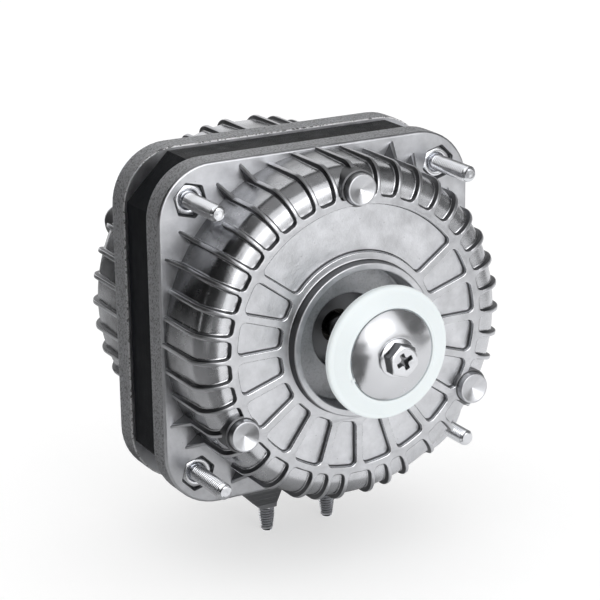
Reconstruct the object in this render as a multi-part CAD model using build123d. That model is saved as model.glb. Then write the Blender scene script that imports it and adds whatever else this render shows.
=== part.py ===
"""Square shaded-pole fan motor with finned die-cast shields. Millimetres, +Z up.

The origin is on the shaft axis, in the front face of the front flange. The shaft lies along Y and the fan
side faces -Y. Every piece is drawn on its shaft axis, with local +Z to the fan side and local +Y upwards, and
is then stood up by UPRIGHT.
"""

import os
from math import asin, cos, degrees, radians, sin, sqrt

from build123d import *

# Fits and running gaps
FIT = 0.03                      # radial gap of a pressed or turned fit
RUNNING_FIT = 0.03              # radial gap of the shaft in its bearings
SEAT_GAP = 0.2                  # gap of a loose inner piece to its seat
BOLT_CLEARANCE = 0.1            # radial gap of a bolt in its hole
HEX_CLEARANCE = 0.15            # gap of a nut or head to each flat of its pocket
AIR_GAP = 0.3                   # rotor to pole face
END_PLAY = 0.2                  # thrust washer to bearing, at each end

# Shield flange
FLANGE_HALF = 42.0
FLANGE_CORNER_R = FLANGE_HALF / 3
FLANGE_T = 6.6
FLANGE_EDGE = 0.7
BOLT_HALF_PITCH = 0.8 * FLANGE_HALF
BOLT_CORNERS = ((1, 1), (-1, 1), (-1, -1), (1, -1))

# M4 hardware
M4_R = 2.0
M4_SHANK_R = 1.75               # shank of a rolled thread, and a thread where it is engaged
M4_FLATS = 7.0
M4_NUT_T = 3.2
M4_HEAD_T = 2.8
THREAD_CHAMFER = 0.4
NUT_SINK = 0.5                  # nut face below the flange face
BOLT_TIP = 14.1                 # above the flange face

# Bearing seat and hub bore, heights above the flange face
BEARING_R = 6.5
BEARING_HALF_L = 4.2
BEARING_CENTRE = 1.6
SEAT_HOLE_R = 4.2
HUB_BORE_FLOOR = BEARING_CENTRE + BEARING_R + 0.3
HUB_BORE_R = 9.4
RECESS_FLOOR = HUB_BORE_FLOOR + 5.0
BEARING_BOSS_R = 11.5
BEARING_BOSS_END = -1.5
CHAMBER_R = BEARING_BOSS_R - 2.5
CHAMBER_TOP = BEARING_CENTRE + 3.4

# Shield dome, outside
DOME_R = FLANGE_HALF - 0.1      # over the fins
DOME_TOP = RECESS_FLOOR + 5.4   # ring face above the flange face
SHOULDER_R = 6.4
POCKET_DEPTH = 1.2
RING_R = DOME_R - SHOULDER_R - 1.7
FIN_T = 1.1
FIN_PITCH = 9.0
UPPER_FIN_SPAN = (-36.0, 216.0)
LOWER_FIN_OFFSETS = (6.0, 13.5, 21.0, 33.0, 43.5)
LOWER_CENTRE = 270.0
SHORT_FIN_START = 8.0           # fins beside the nuts start this far above the flange
GUSSET_HALF_SPAN = 20.0         # corner fins, each side of the corner's diagonal
GUSSET_LENGTH = 3.6
GUSSET_HEIGHT = 4.5

# Shield walls
SHIELD_WALL = 1.9
ROOF_T = 2.1

# Collar round the recess
COLLAR_OUTER_R = 18.75
COLLAR_INNER_R = COLLAR_OUTER_R - 1.85
COLLAR_TOP = DOME_TOP + 2.4

# Ring cells
CELL_INNER_R = COLLAR_OUTER_R + 1.95
CELL_OUTER_R = RING_R - 1.8
CELL_DEPTH = 1.3
CELL_PITCH = 18.0
CELL_CORNER_R = 1.4
WEB_W = 1.9
WINDOW_START = 36.0
WINDOW_CELLS = 6                # cells that are one long window

# Bosses on the shoulder
BOSS_R = 3.75
BOSS_CENTRE_R = DOME_R - SHOULDER_R + 0.5
BOSS_TOP = DOME_TOP + 1.9
BOSS_ANGLES = (90.0, 210.0, 330.0)
DIMPLE_R = 3.3
DIMPLE_DEPTH = 1.0

# Coils
NECK_W = 13.0                   # pole neck
BOBBIN_WALL = 1.0
COIL_BUILD = 5.2
COIL_CORNER_R = 4.0
FLANGE_OVERHANG = 0.7           # bobbin flange past its coil
BOBBIN_HALF_W = NECK_W / 2 + SEAT_GAP + BOBBIN_WALL + COIL_BUILD + FLANGE_OVERHANG

# Stator stack
STACK_T = 12.2
STACK_HALF = FLANGE_HALF - 1.0  # stack face inside the flange edge
STACK_CHAMFER = 2 * (STACK_HALF - BOLT_HALF_PITCH) - 3.8
YOKE_INNER = STACK_HALF - 7.5
WINDOW_CORNER_R = YOKE_INNER - BOBBIN_HALF_W
BORE_R = 20.0
SHOE_R = BORE_R + 3.0
SHOE_HALF_ANGLE = 35.5

# Shaft and rotor
SHAFT_R = 3.0
FELT_T = 2.1
RETAINER_T = 0.6
RETAINER_SLOT_W = 1.0
RETAINER_SLOTS = 6
THRUST_WASHER_T = 0.6
THRUST_WASHER_R = 5.0
SPACER_R = 4.8
ROTOR_R = BORE_R - AIR_GAP
CAGE_RING_T = 2.5
CAGE_RING_INNER_R = ROTOR_R - 6.2
CAGE_BARS = 18
BAR_W = 1.8
BAR_L = 3.6
BAR_COVER = 0.9                 # rotor iron outside the bars

# Shading rings
RING_BAR_W = 1.5
RING_SPAN = 9.0
RING_ANGLE = 28.0

# Fan hub, cap and screw
HUB_NECK_R = 5.8
HUB_NECK_L = 13.0               # behind the plate; the neck stops short of the shield's bore
HUB_PLATE_R = 15.85
HUB_PLATE_T = 2.0
HUB_PLATE_FRONT = COLLAR_TOP + 10.8
HUB_EDGE = 0.4
HUB_NECK_END = HUB_PLATE_FRONT - HUB_PLATE_T - HUB_NECK_L
CAP_R = 10.75
CAP_SEAT = HUB_PLATE_FRONT + 0.7
CAP_T = 0.9
CAP_RISE = 1.9
SHAFT_FRONT = CAP_SEAT - 0.4
SHAFT_REAR_GAP = 1.4            # shaft end to the rear shield's blind floor
SHAFT_FLAT = 0.6
SCREW_LENGTH = 13.0
SCREW_FLANGE_R = 4.6
SCREW_FLANGE_T = 0.7
SCREW_HEAD_T = 2.8
CROSS_W = 0.9
CROSS_L = 3.8
CROSS_DEPTH = 1.4

# Base lugs and studs
LUG_X = 9.2
LUG_BOTTOM = FLANGE_HALF + 9.7
LUG_FOOT_HALF = 2.2
LUG_OUTER_RUN = 10.7
LUG_INNER_RUN = 1.6
STUD_OUT = 6.6
STUD_HEAD_Y = STACK_HALF - 2.6  # shaft axis down to the top of the stud head
STUD_TAPER_L = 4.0
STUD_TIP_R = 1.45

# Cable entry in the rear shield
CABLE_HEIGHT = 6.2
CABLE_BOSS_R = 6.0
CABLE_HOLE_R = 4.2
CABLE_R = 2.6
GROMMET_LIP_R = 5.6
GROMMET_LIP_T = 1.2

# Sizes that follow
NUT_POCKET = M4_NUT_T + NUT_SINK
SKIN_R = DOME_R - POCKET_DEPTH
SKIN_TOP = DOME_TOP - POCKET_DEPTH
SHOULDER_CENTRE = (DOME_R - SHOULDER_R, DOME_TOP - SHOULDER_R)
CAVITY_R = SKIN_R - SHIELD_WALL
CAVITY_TOP = DOME_TOP - CELL_DEPTH - ROOF_T
HUB_FLOOR_UNDER = RECESS_FLOOR - ROOF_T
STACK_MID = -FLANGE_T - STACK_T / 2
OVERALL = 2 * FLANGE_T + STACK_T
CAP_TOP = CAP_SEAT + CAP_T + CAP_RISE
CUT = 1.0                       # how far a cutting tool runs past a face

UPRIGHT = Rot(90, 0, 0)
TURNED_OVER = Pos(0, 0, -OVERALL) * Rot(180, 0, 0)


def polar(radius, angle, height=0.0):
    """Point at a radius and an angle in degrees about the shaft."""
    return (radius * cos(radians(angle)), radius * sin(radians(angle)), height)


def turned(points):
    """Solid of revolution about the shaft from (radius, height) points."""
    return revolve(Plane.XZ * make_face(Polyline(*points, close=True)), Axis.Z)


def prism(face, start, height):
    """Flat outline in the XY plane, raised from one height by another."""
    return extrude(Pos(0, 0, start) * face, height, dir=(0, 0, 1))


def hexagon(flats, turn=0.0):
    """Hexagon over its flats, with a flat on the given angle."""
    corner_r = flats / sqrt(3)
    corners = [polar(corner_r, turn + 30 + 60 * i) for i in range(6)]
    return make_face(Polyline(*corners, close=True))


def bolt_places():
    """Position and corner angle of each tie bolt."""
    for sx, sy in BOLT_CORNERS:
        angle = 45 if sx * sy > 0 else -45
        yield Pos(sx * BOLT_HALF_PITCH, sy * BOLT_HALF_PITCH, 0), angle


def threaded_pin(start, thread_start, tip_start, tip_r, end):
    """Rolled-thread pin along Z: a thinner shank, then the free thread and its tapered tip."""
    runout = thread_start - (M4_R - M4_SHANK_R)
    return turned(
        [
            (0, start),
            (M4_SHANK_R, start),
            (M4_SHANK_R, runout),
            (M4_R, thread_start),
            (M4_R, tip_start),
            (tip_r, end),
            (0, end),
        ]
    )


def fin_angles():
    """Fin angles: an even pitch over the top and sides, and a mirrored set round the bottom."""
    first, last = UPPER_FIN_SPAN
    count = round((last - first) / FIN_PITCH)
    upper = [first + FIN_PITCH * i for i in range(count + 1)]
    lower = [LOWER_CENTRE + side * step for step in LOWER_FIN_OFFSETS for side in (-1, 1)]
    return upper + lower


def fin(angle):
    """Radial fin over the shoulder of the dome, with a gusset where it meets a flange corner."""
    ring_x, ring_z = SHOULDER_CENTRE
    mid_wall = (CAVITY_R + SKIN_R) / 2
    inner_top = (CAVITY_TOP + SKIN_TOP) / 2
    root_r = RING_R - FIN_T
    off_diagonal = abs((angle % 90) - 45)
    foot = -FLANGE_EDGE
    gusset = []
    if off_diagonal < FIN_PITCH / 2:
        foot = SHORT_FIN_START
    elif off_diagonal < GUSSET_HALF_SPAN:
        gusset = [(DOME_R, GUSSET_HEIGHT), (DOME_R + GUSSET_LENGTH, 0), (DOME_R + GUSSET_LENGTH, foot)]
    flank = Polyline(
        (DOME_R, ring_z),
        *(gusset or [(DOME_R, foot)]),
        (mid_wall, foot),
        (mid_wall, ring_z),
        (ring_x, inner_top),
        (root_r, inner_top),
        (root_r, DOME_TOP),
        (ring_x, DOME_TOP),
    )
    shoulder = CenterArc((ring_x, ring_z), SHOULDER_R, 0, 90)
    plate = extrude(Plane.XZ * make_face(flank.edges() + shoulder.edges()), FIN_T / 2, both=True)
    return Rot(0, 0, angle) * plate


def dome():
    """Outside of the shield on its shaft axis: flank, shoulder, ring, collar and recess, still solid."""
    ring_x, ring_z = SHOULDER_CENTRE
    floor_r = SHOULDER_R - POCKET_DEPTH
    line = Polyline(
        (ring_x, SKIN_TOP),
        (RING_R, SKIN_TOP),
        (RING_R, DOME_TOP),
        (COLLAR_OUTER_R, DOME_TOP),
        (COLLAR_OUTER_R, COLLAR_TOP),
        (COLLAR_INNER_R, COLLAR_TOP),
        (COLLAR_INNER_R, RECESS_FLOOR),
        (0, RECESS_FLOOR),
        (0, -FLANGE_T),
        (SKIN_R, -FLANGE_T),
        (SKIN_R, ring_z),
    )
    shoulder = CenterArc((ring_x, ring_z), floor_r, 0, 90)
    return revolve(Plane.XZ * make_face(line.edges() + shoulder.edges()), Axis.Z)


def flange():
    """Rounded square flange with its broken outer edge."""
    outline = RectangleRounded(2 * FLANGE_HALF, 2 * FLANGE_HALF, FLANGE_CORNER_R)
    plate = prism(outline, -FLANGE_T, FLANGE_T)
    return chamfer(plate.faces().sort_by(Axis.Z)[-1].edges(), FLANGE_EDGE)


def cavity():
    """Hollow of the shield round its bearing boss, which holds the coil heads and the bearing."""
    seat_line = BEARING_CENTRE + BEARING_R * sqrt(2) + RUNNING_FIT
    roof_r = SHOULDER_CENTRE[0]
    low_roof_r = COLLAR_OUTER_R
    slope = CAVITY_R - roof_r
    return turned(
        [
            (0, -FLANGE_T - CUT),
            (CAVITY_R, -FLANGE_T - CUT),
            (CAVITY_R, CAVITY_TOP - slope),
            (roof_r, CAVITY_TOP),
            (low_roof_r, CAVITY_TOP),
            (low_roof_r, HUB_FLOOR_UNDER),
            (BEARING_BOSS_R, HUB_FLOOR_UNDER),
            (BEARING_BOSS_R, BEARING_BOSS_END),
            (CHAMBER_R, BEARING_BOSS_END),
            (CHAMBER_R, CHAMBER_TOP),
            (seat_line - CHAMBER_TOP, CHAMBER_TOP),
            (SEAT_HOLE_R, seat_line - SEAT_HOLE_R),
            (SEAT_HOLE_R, HUB_BORE_FLOOR),
            (0, HUB_BORE_FLOOR),
        ]
    )


def cell(first, last):
    """Recess in the ring between the webs at two angles, with walls parallel to the webs."""
    half = WEB_W / 2
    inner = degrees(asin(half / CELL_INNER_R))
    outer = degrees(asin(half / CELL_OUTER_R))
    middle = (first + last) / 2
    start_in = polar(CELL_INNER_R, first + inner)
    start_out = polar(CELL_OUTER_R, first + outer)
    end_out = polar(CELL_OUTER_R, last - outer)
    end_in = polar(CELL_INNER_R, last - inner)
    outline = [
        Line(start_in, start_out),
        ThreePointArc(start_out, polar(CELL_OUTER_R, middle), end_out),
        Line(end_out, end_in),
        ThreePointArc(end_in, polar(CELL_INNER_R, middle), start_in),
    ]
    face = make_face(outline)
    face = fillet(face.vertices(), CELL_CORNER_R)
    return prism(face, DOME_TOP - CELL_DEPTH, CELL_DEPTH + CUT)


def cells():
    """The long window over the top of the ring and the even cells round the rest."""
    window_end = WINDOW_START + WINDOW_CELLS * CELL_PITCH
    count = round(360 / CELL_PITCH) - WINDOW_CELLS
    found = [cell(WINDOW_START, window_end)]
    for i in range(count):
        start = window_end + i * CELL_PITCH
        found.append(cell(start, start + CELL_PITCH))
    return found


def bosses():
    """Round bosses on the shoulder."""
    base = SHOULDER_CENTRE[1]
    pin = Cylinder(BOSS_R, BOSS_TOP - base, align=(Align.CENTER, Align.CENTER, Align.MIN))
    return [Pos(polar(BOSS_CENTRE_R, angle, base)) * pin for angle in BOSS_ANGLES]


def dimples():
    """Shallow cones in the tops of the bosses."""
    cone = turned([(0, -DIMPLE_DEPTH), (DIMPLE_R, 0), (0, 0)])
    return [Pos(polar(BOSS_CENTRE_R, angle, BOSS_TOP)) * cone for angle in BOSS_ANGLES]


def bolt_cuts():
    """Bolt holes and the hex pockets that hold nuts or heads, with a flat towards each corner."""
    hole = prism(Circle(M4_R + BOLT_CLEARANCE), -FLANGE_T - CUT, FLANGE_T + 2 * CUT)
    found = []
    for place, angle in bolt_places():
        pocket = prism(hexagon(M4_FLATS + 2 * HEX_CLEARANCE, angle), -NUT_POCKET, NUT_POCKET + CUT)
        found += [place * hole, place * pocket]
    return found


def shield_body(extra):
    """The casting that both shields share, before the work on its centre."""
    fins = [fin(angle) for angle in fin_angles()]
    solid = dome() + [flange(), *fins, *bosses(), *extra]
    return solid - [cavity(), *cells(), *dimples(), *bolt_cuts()]


def front_shield():
    """Front casting, bored for the fan hub."""
    bore = prism(Circle(HUB_BORE_R), HUB_BORE_FLOOR, RECESS_FLOOR - HUB_BORE_FLOOR + CUT)
    return shield_body([]) - bore


def cable_axis(distance):
    """Place on the cable entry's axis, with local +Z pointing out of the shield's side."""
    return Pos(distance, 0, CABLE_HEIGHT) * Rot(0, 90, 0)


def rear_shield():
    """Rear casting: the same form turned over, with a closed centre and the cable entry."""
    boss_start = (CAVITY_R + SKIN_R) / 2
    boss = cable_axis(boss_start) * prism(Circle(CABLE_BOSS_R), 0, DOME_R - boss_start)
    hole = cable_axis(CAVITY_R - CABLE_BOSS_R / 2) * prism(Circle(CABLE_HOLE_R), 0, CABLE_BOSS_R + CUT)
    return TURNED_OVER * (shield_body([boss]) - hole)


def cable_grommet():
    """Grommet with a lip on each side of the shield wall, open for a cable."""
    chord_r = sqrt(CAVITY_R**2 - GROMMET_LIP_R**2)
    inner_face = chord_r - DOME_R - SEAT_GAP / 2
    neck_r = CABLE_HOLE_R - FIT
    body = turned(
        [
            (CABLE_R, inner_face - GROMMET_LIP_T),
            (GROMMET_LIP_R, inner_face - GROMMET_LIP_T),
            (GROMMET_LIP_R, inner_face),
            (neck_r, inner_face),
            (neck_r, 0),
            (GROMMET_LIP_R, 0),
            (GROMMET_LIP_R, GROMMET_LIP_T),
            (CABLE_R, GROMMET_LIP_T),
        ]
    )
    return TURNED_OVER * cable_axis(DOME_R) * body


def lug_outline(side):
    """One base lug: a long slope outside, a steep one inside and a flat foot round the stud."""
    foot = LUG_BOTTOM
    shoulder = STACK_HALF - CUT
    reach = (foot - shoulder) / (foot - STACK_HALF)
    points = [
        (LUG_X - LUG_FOOT_HALF - LUG_INNER_RUN * reach, -shoulder),
        (LUG_X - LUG_FOOT_HALF, -foot),
        (LUG_X + LUG_FOOT_HALF, -foot),
        (LUG_X + LUG_FOOT_HALF + LUG_OUTER_RUN * reach, -shoulder),
    ]
    return make_face(Polyline(*[(side * x, y) for x, y in points], close=True))


def pole_window():
    """Opening of the stack round the four pole necks and shoes."""
    window = RectangleRounded(2 * YOKE_INNER, 2 * YOKE_INNER, WINDOW_CORNER_R)
    neck_l = YOKE_INNER - BORE_R
    neck = Pos(YOKE_INNER + CUT - neck_l / 2, 0) * Rectangle(neck_l, NECK_W)
    half = SHOE_HALF_ANGLE
    outline = [
        Line(polar(BORE_R, -half), polar(SHOE_R, -half)),
        ThreePointArc(polar(SHOE_R, -half), polar(SHOE_R, 0), polar(SHOE_R, half)),
        Line(polar(SHOE_R, half), polar(BORE_R, half)),
        ThreePointArc(polar(BORE_R, half), polar(BORE_R, 0), polar(BORE_R, -half)),
    ]
    pole = neck + make_face(outline)
    return window - [Rot(0, 0, 90 * i) * pole for i in range(4)]


def shading_place(index):
    """Place of a pole's shading ring, with local +X pointing out along its radius."""
    middle = (BORE_R + SHOE_R) / 2
    return Rot(0, 0, 90 * index + RING_ANGLE) * Pos(middle, 0, STACK_MID)


def stator_core():
    """Lamination stack: square with cut corners, four poles, bolt holes and two lugs with stud slots."""
    side = 2 * STACK_HALF
    block = chamfer(Rectangle(side, side).vertices(), STACK_CHAMFER)
    plan = block + [lug_outline(1), lug_outline(-1)] - pole_window()
    core = prism(plan, -FLANGE_T - STACK_T, STACK_T)
    hole = prism(Circle(M4_R + BOLT_CLEARANCE), -FLANGE_T - STACK_T - CUT, STACK_T + 2 * CUT)
    cuts = [place * hole for place, _ in bolt_places()]
    slot_w = M4_FLATS + 2 * HEX_CLEARANCE
    slot_h = M4_HEAD_T + 2 * HEX_CLEARANCE
    slot_y = -STUD_HEAD_Y - M4_HEAD_T / 2
    pin = Cylinder(M4_R + BOLT_CLEARANCE, LUG_BOTTOM, align=(Align.CENTER, Align.CENTER, Align.MIN))
    for sx in (-1, 1):
        cuts.append(Pos(sx * LUG_X, slot_y, STACK_MID) * Box(slot_w, slot_h, STACK_T + 2 * CUT))
        cuts.append(Pos(sx * LUG_X, slot_y, STACK_MID) * Rot(90, 0, 0) * pin)
    leg = RING_SPAN / 2 - RING_BAR_W / 2
    notch_w = RING_BAR_W + SEAT_GAP
    notch = Pos((SHOE_R - BORE_R) / 2, -leg, 0) * Box(SHOE_R - BORE_R + notch_w, notch_w, STACK_T + 2 * CUT)
    cuts += [shading_place(i) * notch for i in range(4)]
    return core - cuts


def shading_rings():
    """Four copper loops, each round the trailing part of a pole shoe."""
    length = STACK_T + 2 * (RING_BAR_W + SEAT_GAP)
    loop = Box(RING_BAR_W, RING_SPAN, length)
    loop -= Box(RING_BAR_W + CUT, RING_SPAN - 2 * RING_BAR_W, length - 2 * RING_BAR_W)
    return [shading_place(i) * Pos(RING_BAR_W / 2, 0, 0) * loop for i in range(4)]


def on_pole(index, piece):
    """A piece drawn along a pole's radius from the shaft, placed on one of the four poles."""
    return Rot(0, 0, 90 * index) * Pos(0, 0, STACK_MID) * Rot(0, 90, 0) * piece


def tube(size, corner_r, hole, start, length):
    """Straight tube of rounded outline with a square hole, drawn along local +Z."""
    outside = RectangleRounded(size[0], size[1], corner_r)
    return prism(outside - Rectangle(*hole), start, length)


def bobbin(index):
    """Coil former between the pole shoe and the yoke."""
    hole = (STACK_T + 2 * SEAT_GAP, NECK_W + 2 * SEAT_GAP)
    core = (hole[0] + 2 * BOBBIN_WALL, hole[1] + 2 * BOBBIN_WALL)
    plate = (STACK_T - NECK_W + 2 * BOBBIN_HALF_W, 2 * BOBBIN_HALF_W)
    start = SHOE_R + SEAT_GAP
    length = YOKE_INNER - SEAT_GAP - start
    barrel = tube(core, BOBBIN_WALL / 2, hole, start, length)
    low = tube(plate, COIL_CORNER_R, hole, start, BOBBIN_WALL)
    high = tube(plate, COIL_CORNER_R, hole, start + length - BOBBIN_WALL, BOBBIN_WALL)
    return on_pole(index, barrel + [low, high])


def winding(index):
    """Wound coil between the flanges of a bobbin."""
    gap = SEAT_GAP / 2
    wall = 2 * (SEAT_GAP + BOBBIN_WALL + gap)
    hole = (STACK_T + wall, NECK_W + wall)
    outside = (hole[0] + 2 * (COIL_BUILD - gap), hole[1] + 2 * (COIL_BUILD - gap))
    start = SHOE_R + SEAT_GAP + BOBBIN_WALL + gap
    length = YOKE_INNER - SEAT_GAP - BOBBIN_WALL - gap - start
    return on_pole(index, tube(outside, COIL_CORNER_R, hole, start, length))


def bearing():
    """Self-aligning sleeve bearing: a sphere with two flat ends and a straight bore."""
    bore = SHAFT_R + RUNNING_FIT
    ball = Sphere(BEARING_R) & Box(2 * BEARING_R, 2 * BEARING_R, 2 * BEARING_HALF_L)
    return Pos(0, 0, BEARING_CENTRE) * (ball - Cylinder(bore, 2 * BEARING_R))


def felt():
    """Oil felt ring round the widest part of the bearing."""
    low = BEARING_CENTRE - FELT_T / 2
    ring = Circle(CHAMBER_R - SEAT_GAP) - Circle(BEARING_R + SEAT_GAP)
    return prism(ring, low, 2 * FELT_T)


def retainer():
    """Slotted spring washer that holds the bearing against its seat."""
    low = BEARING_BOSS_END + SEAT_GAP
    drop = BEARING_CENTRE - low - RETAINER_T
    inner = sqrt(BEARING_R**2 - drop**2) + FIT
    outer = CHAMBER_R - FIT
    slot_l = (outer - inner) / 2
    slot = Pos(inner + slot_l / 2, 0) * Rectangle(slot_l + CUT, RETAINER_SLOT_W)
    slots = [Rot(0, 0, 360 / RETAINER_SLOTS * i) * slot for i in range(RETAINER_SLOTS)]
    return prism(Circle(outer) - Circle(inner) - slots, low, RETAINER_T)


def washer_and_spacer():
    """Thrust washer beside the bearing and the spacer between it and the rotor iron."""
    bearing_end = BEARING_CENTRE - BEARING_HALF_L
    washer_low = bearing_end - END_PLAY - THRUST_WASHER_T
    hole = Circle(SHAFT_R + FIT)
    washer = prism(Circle(THRUST_WASHER_R) - hole, washer_low, THRUST_WASHER_T)
    spacer = prism(Circle(SPACER_R) - hole, -FLANGE_T, washer_low + FLANGE_T)
    return washer, spacer


def tie_bolts():
    """Four long hex head bolts from the rear pockets through both shields."""
    seat = -OVERALL + NUT_POCKET
    thread_start = -NUT_SINK + M4_R - M4_SHANK_R + FIT
    tip_start = BOLT_TIP - THREAD_CHAMFER
    shank = threaded_pin(seat, thread_start, tip_start, M4_R - THREAD_CHAMFER, BOLT_TIP)
    found = []
    for place, angle in bolt_places():
        head = prism(hexagon(M4_FLATS, angle), seat - M4_HEAD_T, M4_HEAD_T)
        found.append(place * (shank + head))
    return found


def tie_nuts():
    """Four nuts in the front pockets."""
    found = []
    for place, angle in bolt_places():
        face = hexagon(M4_FLATS, angle) - Circle(M4_SHANK_R + FIT)
        found.append(place * prism(face, -NUT_POCKET, M4_NUT_T))
    return found


def base_studs():
    """Two hex head studs with their heads in the stack's slots, tapered at the tip."""
    tip = LUG_BOTTOM + STUD_OUT
    shank = threaded_pin(STUD_HEAD_Y, LUG_BOTTOM - FIT, tip - STUD_TAPER_L, STUD_TIP_R, tip)
    head = prism(hexagon(M4_FLATS), STUD_HEAD_Y, M4_HEAD_T)
    stud = Rot(90, 0, 0) * (shank + head)
    return [Pos(sx * LUG_X, 0, STACK_MID) * stud for sx in (-1, 1)]


def shaft():
    """Shaft with a drive flat and a tapped hole at the fan end."""
    rear = -OVERALL - HUB_BORE_FLOOR + SHAFT_REAR_GAP
    rod = turned([(0, rear), (SHAFT_R, rear), (SHAFT_R, SHAFT_FRONT), (0, SHAFT_FRONT)])
    flat_l = SHAFT_FRONT - HUB_NECK_END + CUT
    flat = Pos(SHAFT_R - SHAFT_FLAT / 2, 0) * prism(Rectangle(SHAFT_FLAT, 2 * SHAFT_R), HUB_NECK_END, flat_l)
    hole_bottom = CAP_TOP - SCREW_LENGTH - CUT
    hole = prism(Circle(M4_R + FIT), hole_bottom, SHAFT_FRONT - hole_bottom + CUT)
    return rod - [flat, hole]


def bar_circle():
    """Radius of the middle of the cage bars."""
    return ROTOR_R - BAR_COVER - BAR_L / 2


def rotor_core():
    """Rotor laminations with a slot for each cage bar."""
    disc = Circle(ROTOR_R) - Circle(SHAFT_R + FIT)
    slot = Pos(bar_circle(), 0) * Rectangle(BAR_L + 2 * FIT, BAR_W + 2 * FIT)
    slots = [Rot(0, 0, 360 / CAGE_BARS * i) * slot for i in range(CAGE_BARS)]
    return prism(disc - slots, -FLANGE_T - STACK_T, STACK_T)


def rotor_cage():
    """Cast end rings and bars in one piece."""
    ring = Circle(ROTOR_R - BAR_COVER / 2) - Circle(CAGE_RING_INNER_R)
    front = prism(ring, -FLANGE_T, CAGE_RING_T)
    rear = prism(ring, -FLANGE_T - STACK_T - CAGE_RING_T, CAGE_RING_T)
    bar = prism(Pos(bar_circle(), 0) * Rectangle(BAR_L, BAR_W), -FLANGE_T - STACK_T, STACK_T)
    bars = [Rot(0, 0, 360 / CAGE_BARS * i) * bar for i in range(CAGE_BARS)]
    return front + [rear, *bars]


def drive_hub():
    """Moulded fan hub: dished plate with a seat for the cap, and a neck on the shaft's flat."""
    low = HUB_NECK_END
    seat_r = CAP_R + SEAT_GAP
    lip = CAP_SEAT + CAP_T
    back = HUB_PLATE_FRONT - HUB_PLATE_T
    body = turned(
        [
            (0, low),
            (HUB_NECK_R, low),
            (HUB_NECK_R, back),
            (HUB_PLATE_R - HUB_EDGE, back),
            (HUB_PLATE_R, back + HUB_EDGE),
            (HUB_PLATE_R, HUB_PLATE_FRONT - HUB_EDGE),
            (HUB_PLATE_R - HUB_EDGE, HUB_PLATE_FRONT),
            (seat_r, lip),
            (seat_r, CAP_SEAT),
            (0, CAP_SEAT),
        ]
    )
    bore = Circle(SHAFT_R + FIT)
    flat_x = SHAFT_R - SHAFT_FLAT + FIT
    bore -= Pos(flat_x + SHAFT_R, 0) * Rectangle(2 * SHAFT_R, 3 * SHAFT_R)
    return body - prism(bore, low - CUT, CAP_SEAT - low + 2 * CUT)


def cap_washer():
    """Domed cap over the hub's seat, of even thickness, flat under the screw."""
    flat_r = SCREW_FLANGE_R + SEAT_GAP
    top = CAP_SEAT + CAP_T
    return turned(
        [
            (M4_R + BOLT_CLEARANCE, CAP_SEAT + CAP_RISE),
            (flat_r, CAP_SEAT + CAP_RISE),
            (CAP_R, CAP_SEAT),
            (CAP_R, top),
            (flat_r, top + CAP_RISE),
            (M4_R + BOLT_CLEARANCE, top + CAP_RISE),
        ]
    )


def hub_screw():
    """Hex flange screw with a cross recess."""
    flange_top = CAP_TOP + SCREW_FLANGE_T
    head_top = CAP_TOP + SCREW_FLANGE_T + SCREW_HEAD_T
    body = turned(
        [
            (0, CAP_TOP - SCREW_LENGTH),
            (M4_R - THREAD_CHAMFER, CAP_TOP - SCREW_LENGTH),
            (M4_R, CAP_TOP - SCREW_LENGTH + THREAD_CHAMFER),
            (M4_R, CAP_TOP),
            (SCREW_FLANGE_R, CAP_TOP),
            (SCREW_FLANGE_R, flange_top),
            (0, flange_top),
        ]
    )
    body += prism(hexagon(M4_FLATS), CAP_TOP, head_top - CAP_TOP)
    cross = Rectangle(CROSS_L, CROSS_W) + Rectangle(CROSS_W, CROSS_L)
    return body - prism(cross, head_top - CROSS_DEPTH, CROSS_DEPTH + CUT)


def pieces():
    """Every node of the motor, on its shaft axis."""
    washer, spacer = washer_and_spacer()
    found = {
        "front_shield": front_shield(),
        "rear_shield": rear_shield(),
        "stator_core": stator_core(),
        "shading_rings": shading_rings(),
        "front_bearing": bearing(),
        "rear_bearing": TURNED_OVER * bearing(),
        "front_felt": felt(),
        "rear_felt": TURNED_OVER * felt(),
        "front_retainer": retainer(),
        "rear_retainer": TURNED_OVER * retainer(),
        "cable_grommet": cable_grommet(),
        "tie_bolts": tie_bolts(),
        "tie_nuts": tie_nuts(),
        "base_studs": base_studs(),
        "shaft": shaft(),
        "rotor_core": rotor_core(),
        "rotor_cage": rotor_cage(),
        "front_spacer": spacer,
        "rear_spacer": TURNED_OVER * spacer,
        "front_thrust_washer": washer,
        "rear_thrust_washer": TURNED_OVER * washer,
        "drive_hub": drive_hub(),
        "cap_washer": cap_washer(),
        "hub_screw": hub_screw(),
    }
    for index, side in enumerate(("right", "top", "left", "bottom")):
        found["bobbin_" + side] = bobbin(index)
        found["winding_" + side] = winding(index)
    return found


def main():
    os.makedirs("parts", exist_ok=True)
    for name, piece in pieces().items():
        solids = piece if isinstance(piece, list) else [piece]
        upright = [UPRIGHT * solid for solid in solids]
        shape = upright[0] if len(upright) == 1 else Compound(children=upright)
        export_step(shape, os.path.join("parts", name + ".step"))


if __name__ == "__main__":
    main()
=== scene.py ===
"""Square shaded-pole fan motor: fine forms, finishes and studio.

The die-cast shields, the fasteners and the fan hub are drawn again with their roundings, threads and
recesses, each in place of its plain piece, and the lugs of the stack are tapered. The coils, bearings and
rotor keep their own shapes and get finishes. Forms are drawn in millimetres on the shaft axis, with z to the
fan side and y upwards, and are then stood up in the frame, where the shaft lies along Y and the fan side
faces -Y.
"""

from math import asin, ceil, cos, degrees, pi, radians, sin, sqrt, tan

import bmesh
import bpy
import numpy as np
from bpy.props import FloatProperty, FloatVectorProperty, PointerProperty
from mathutils import Matrix, Vector
from mathutils.geometry import tessellate_polygon


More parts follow.
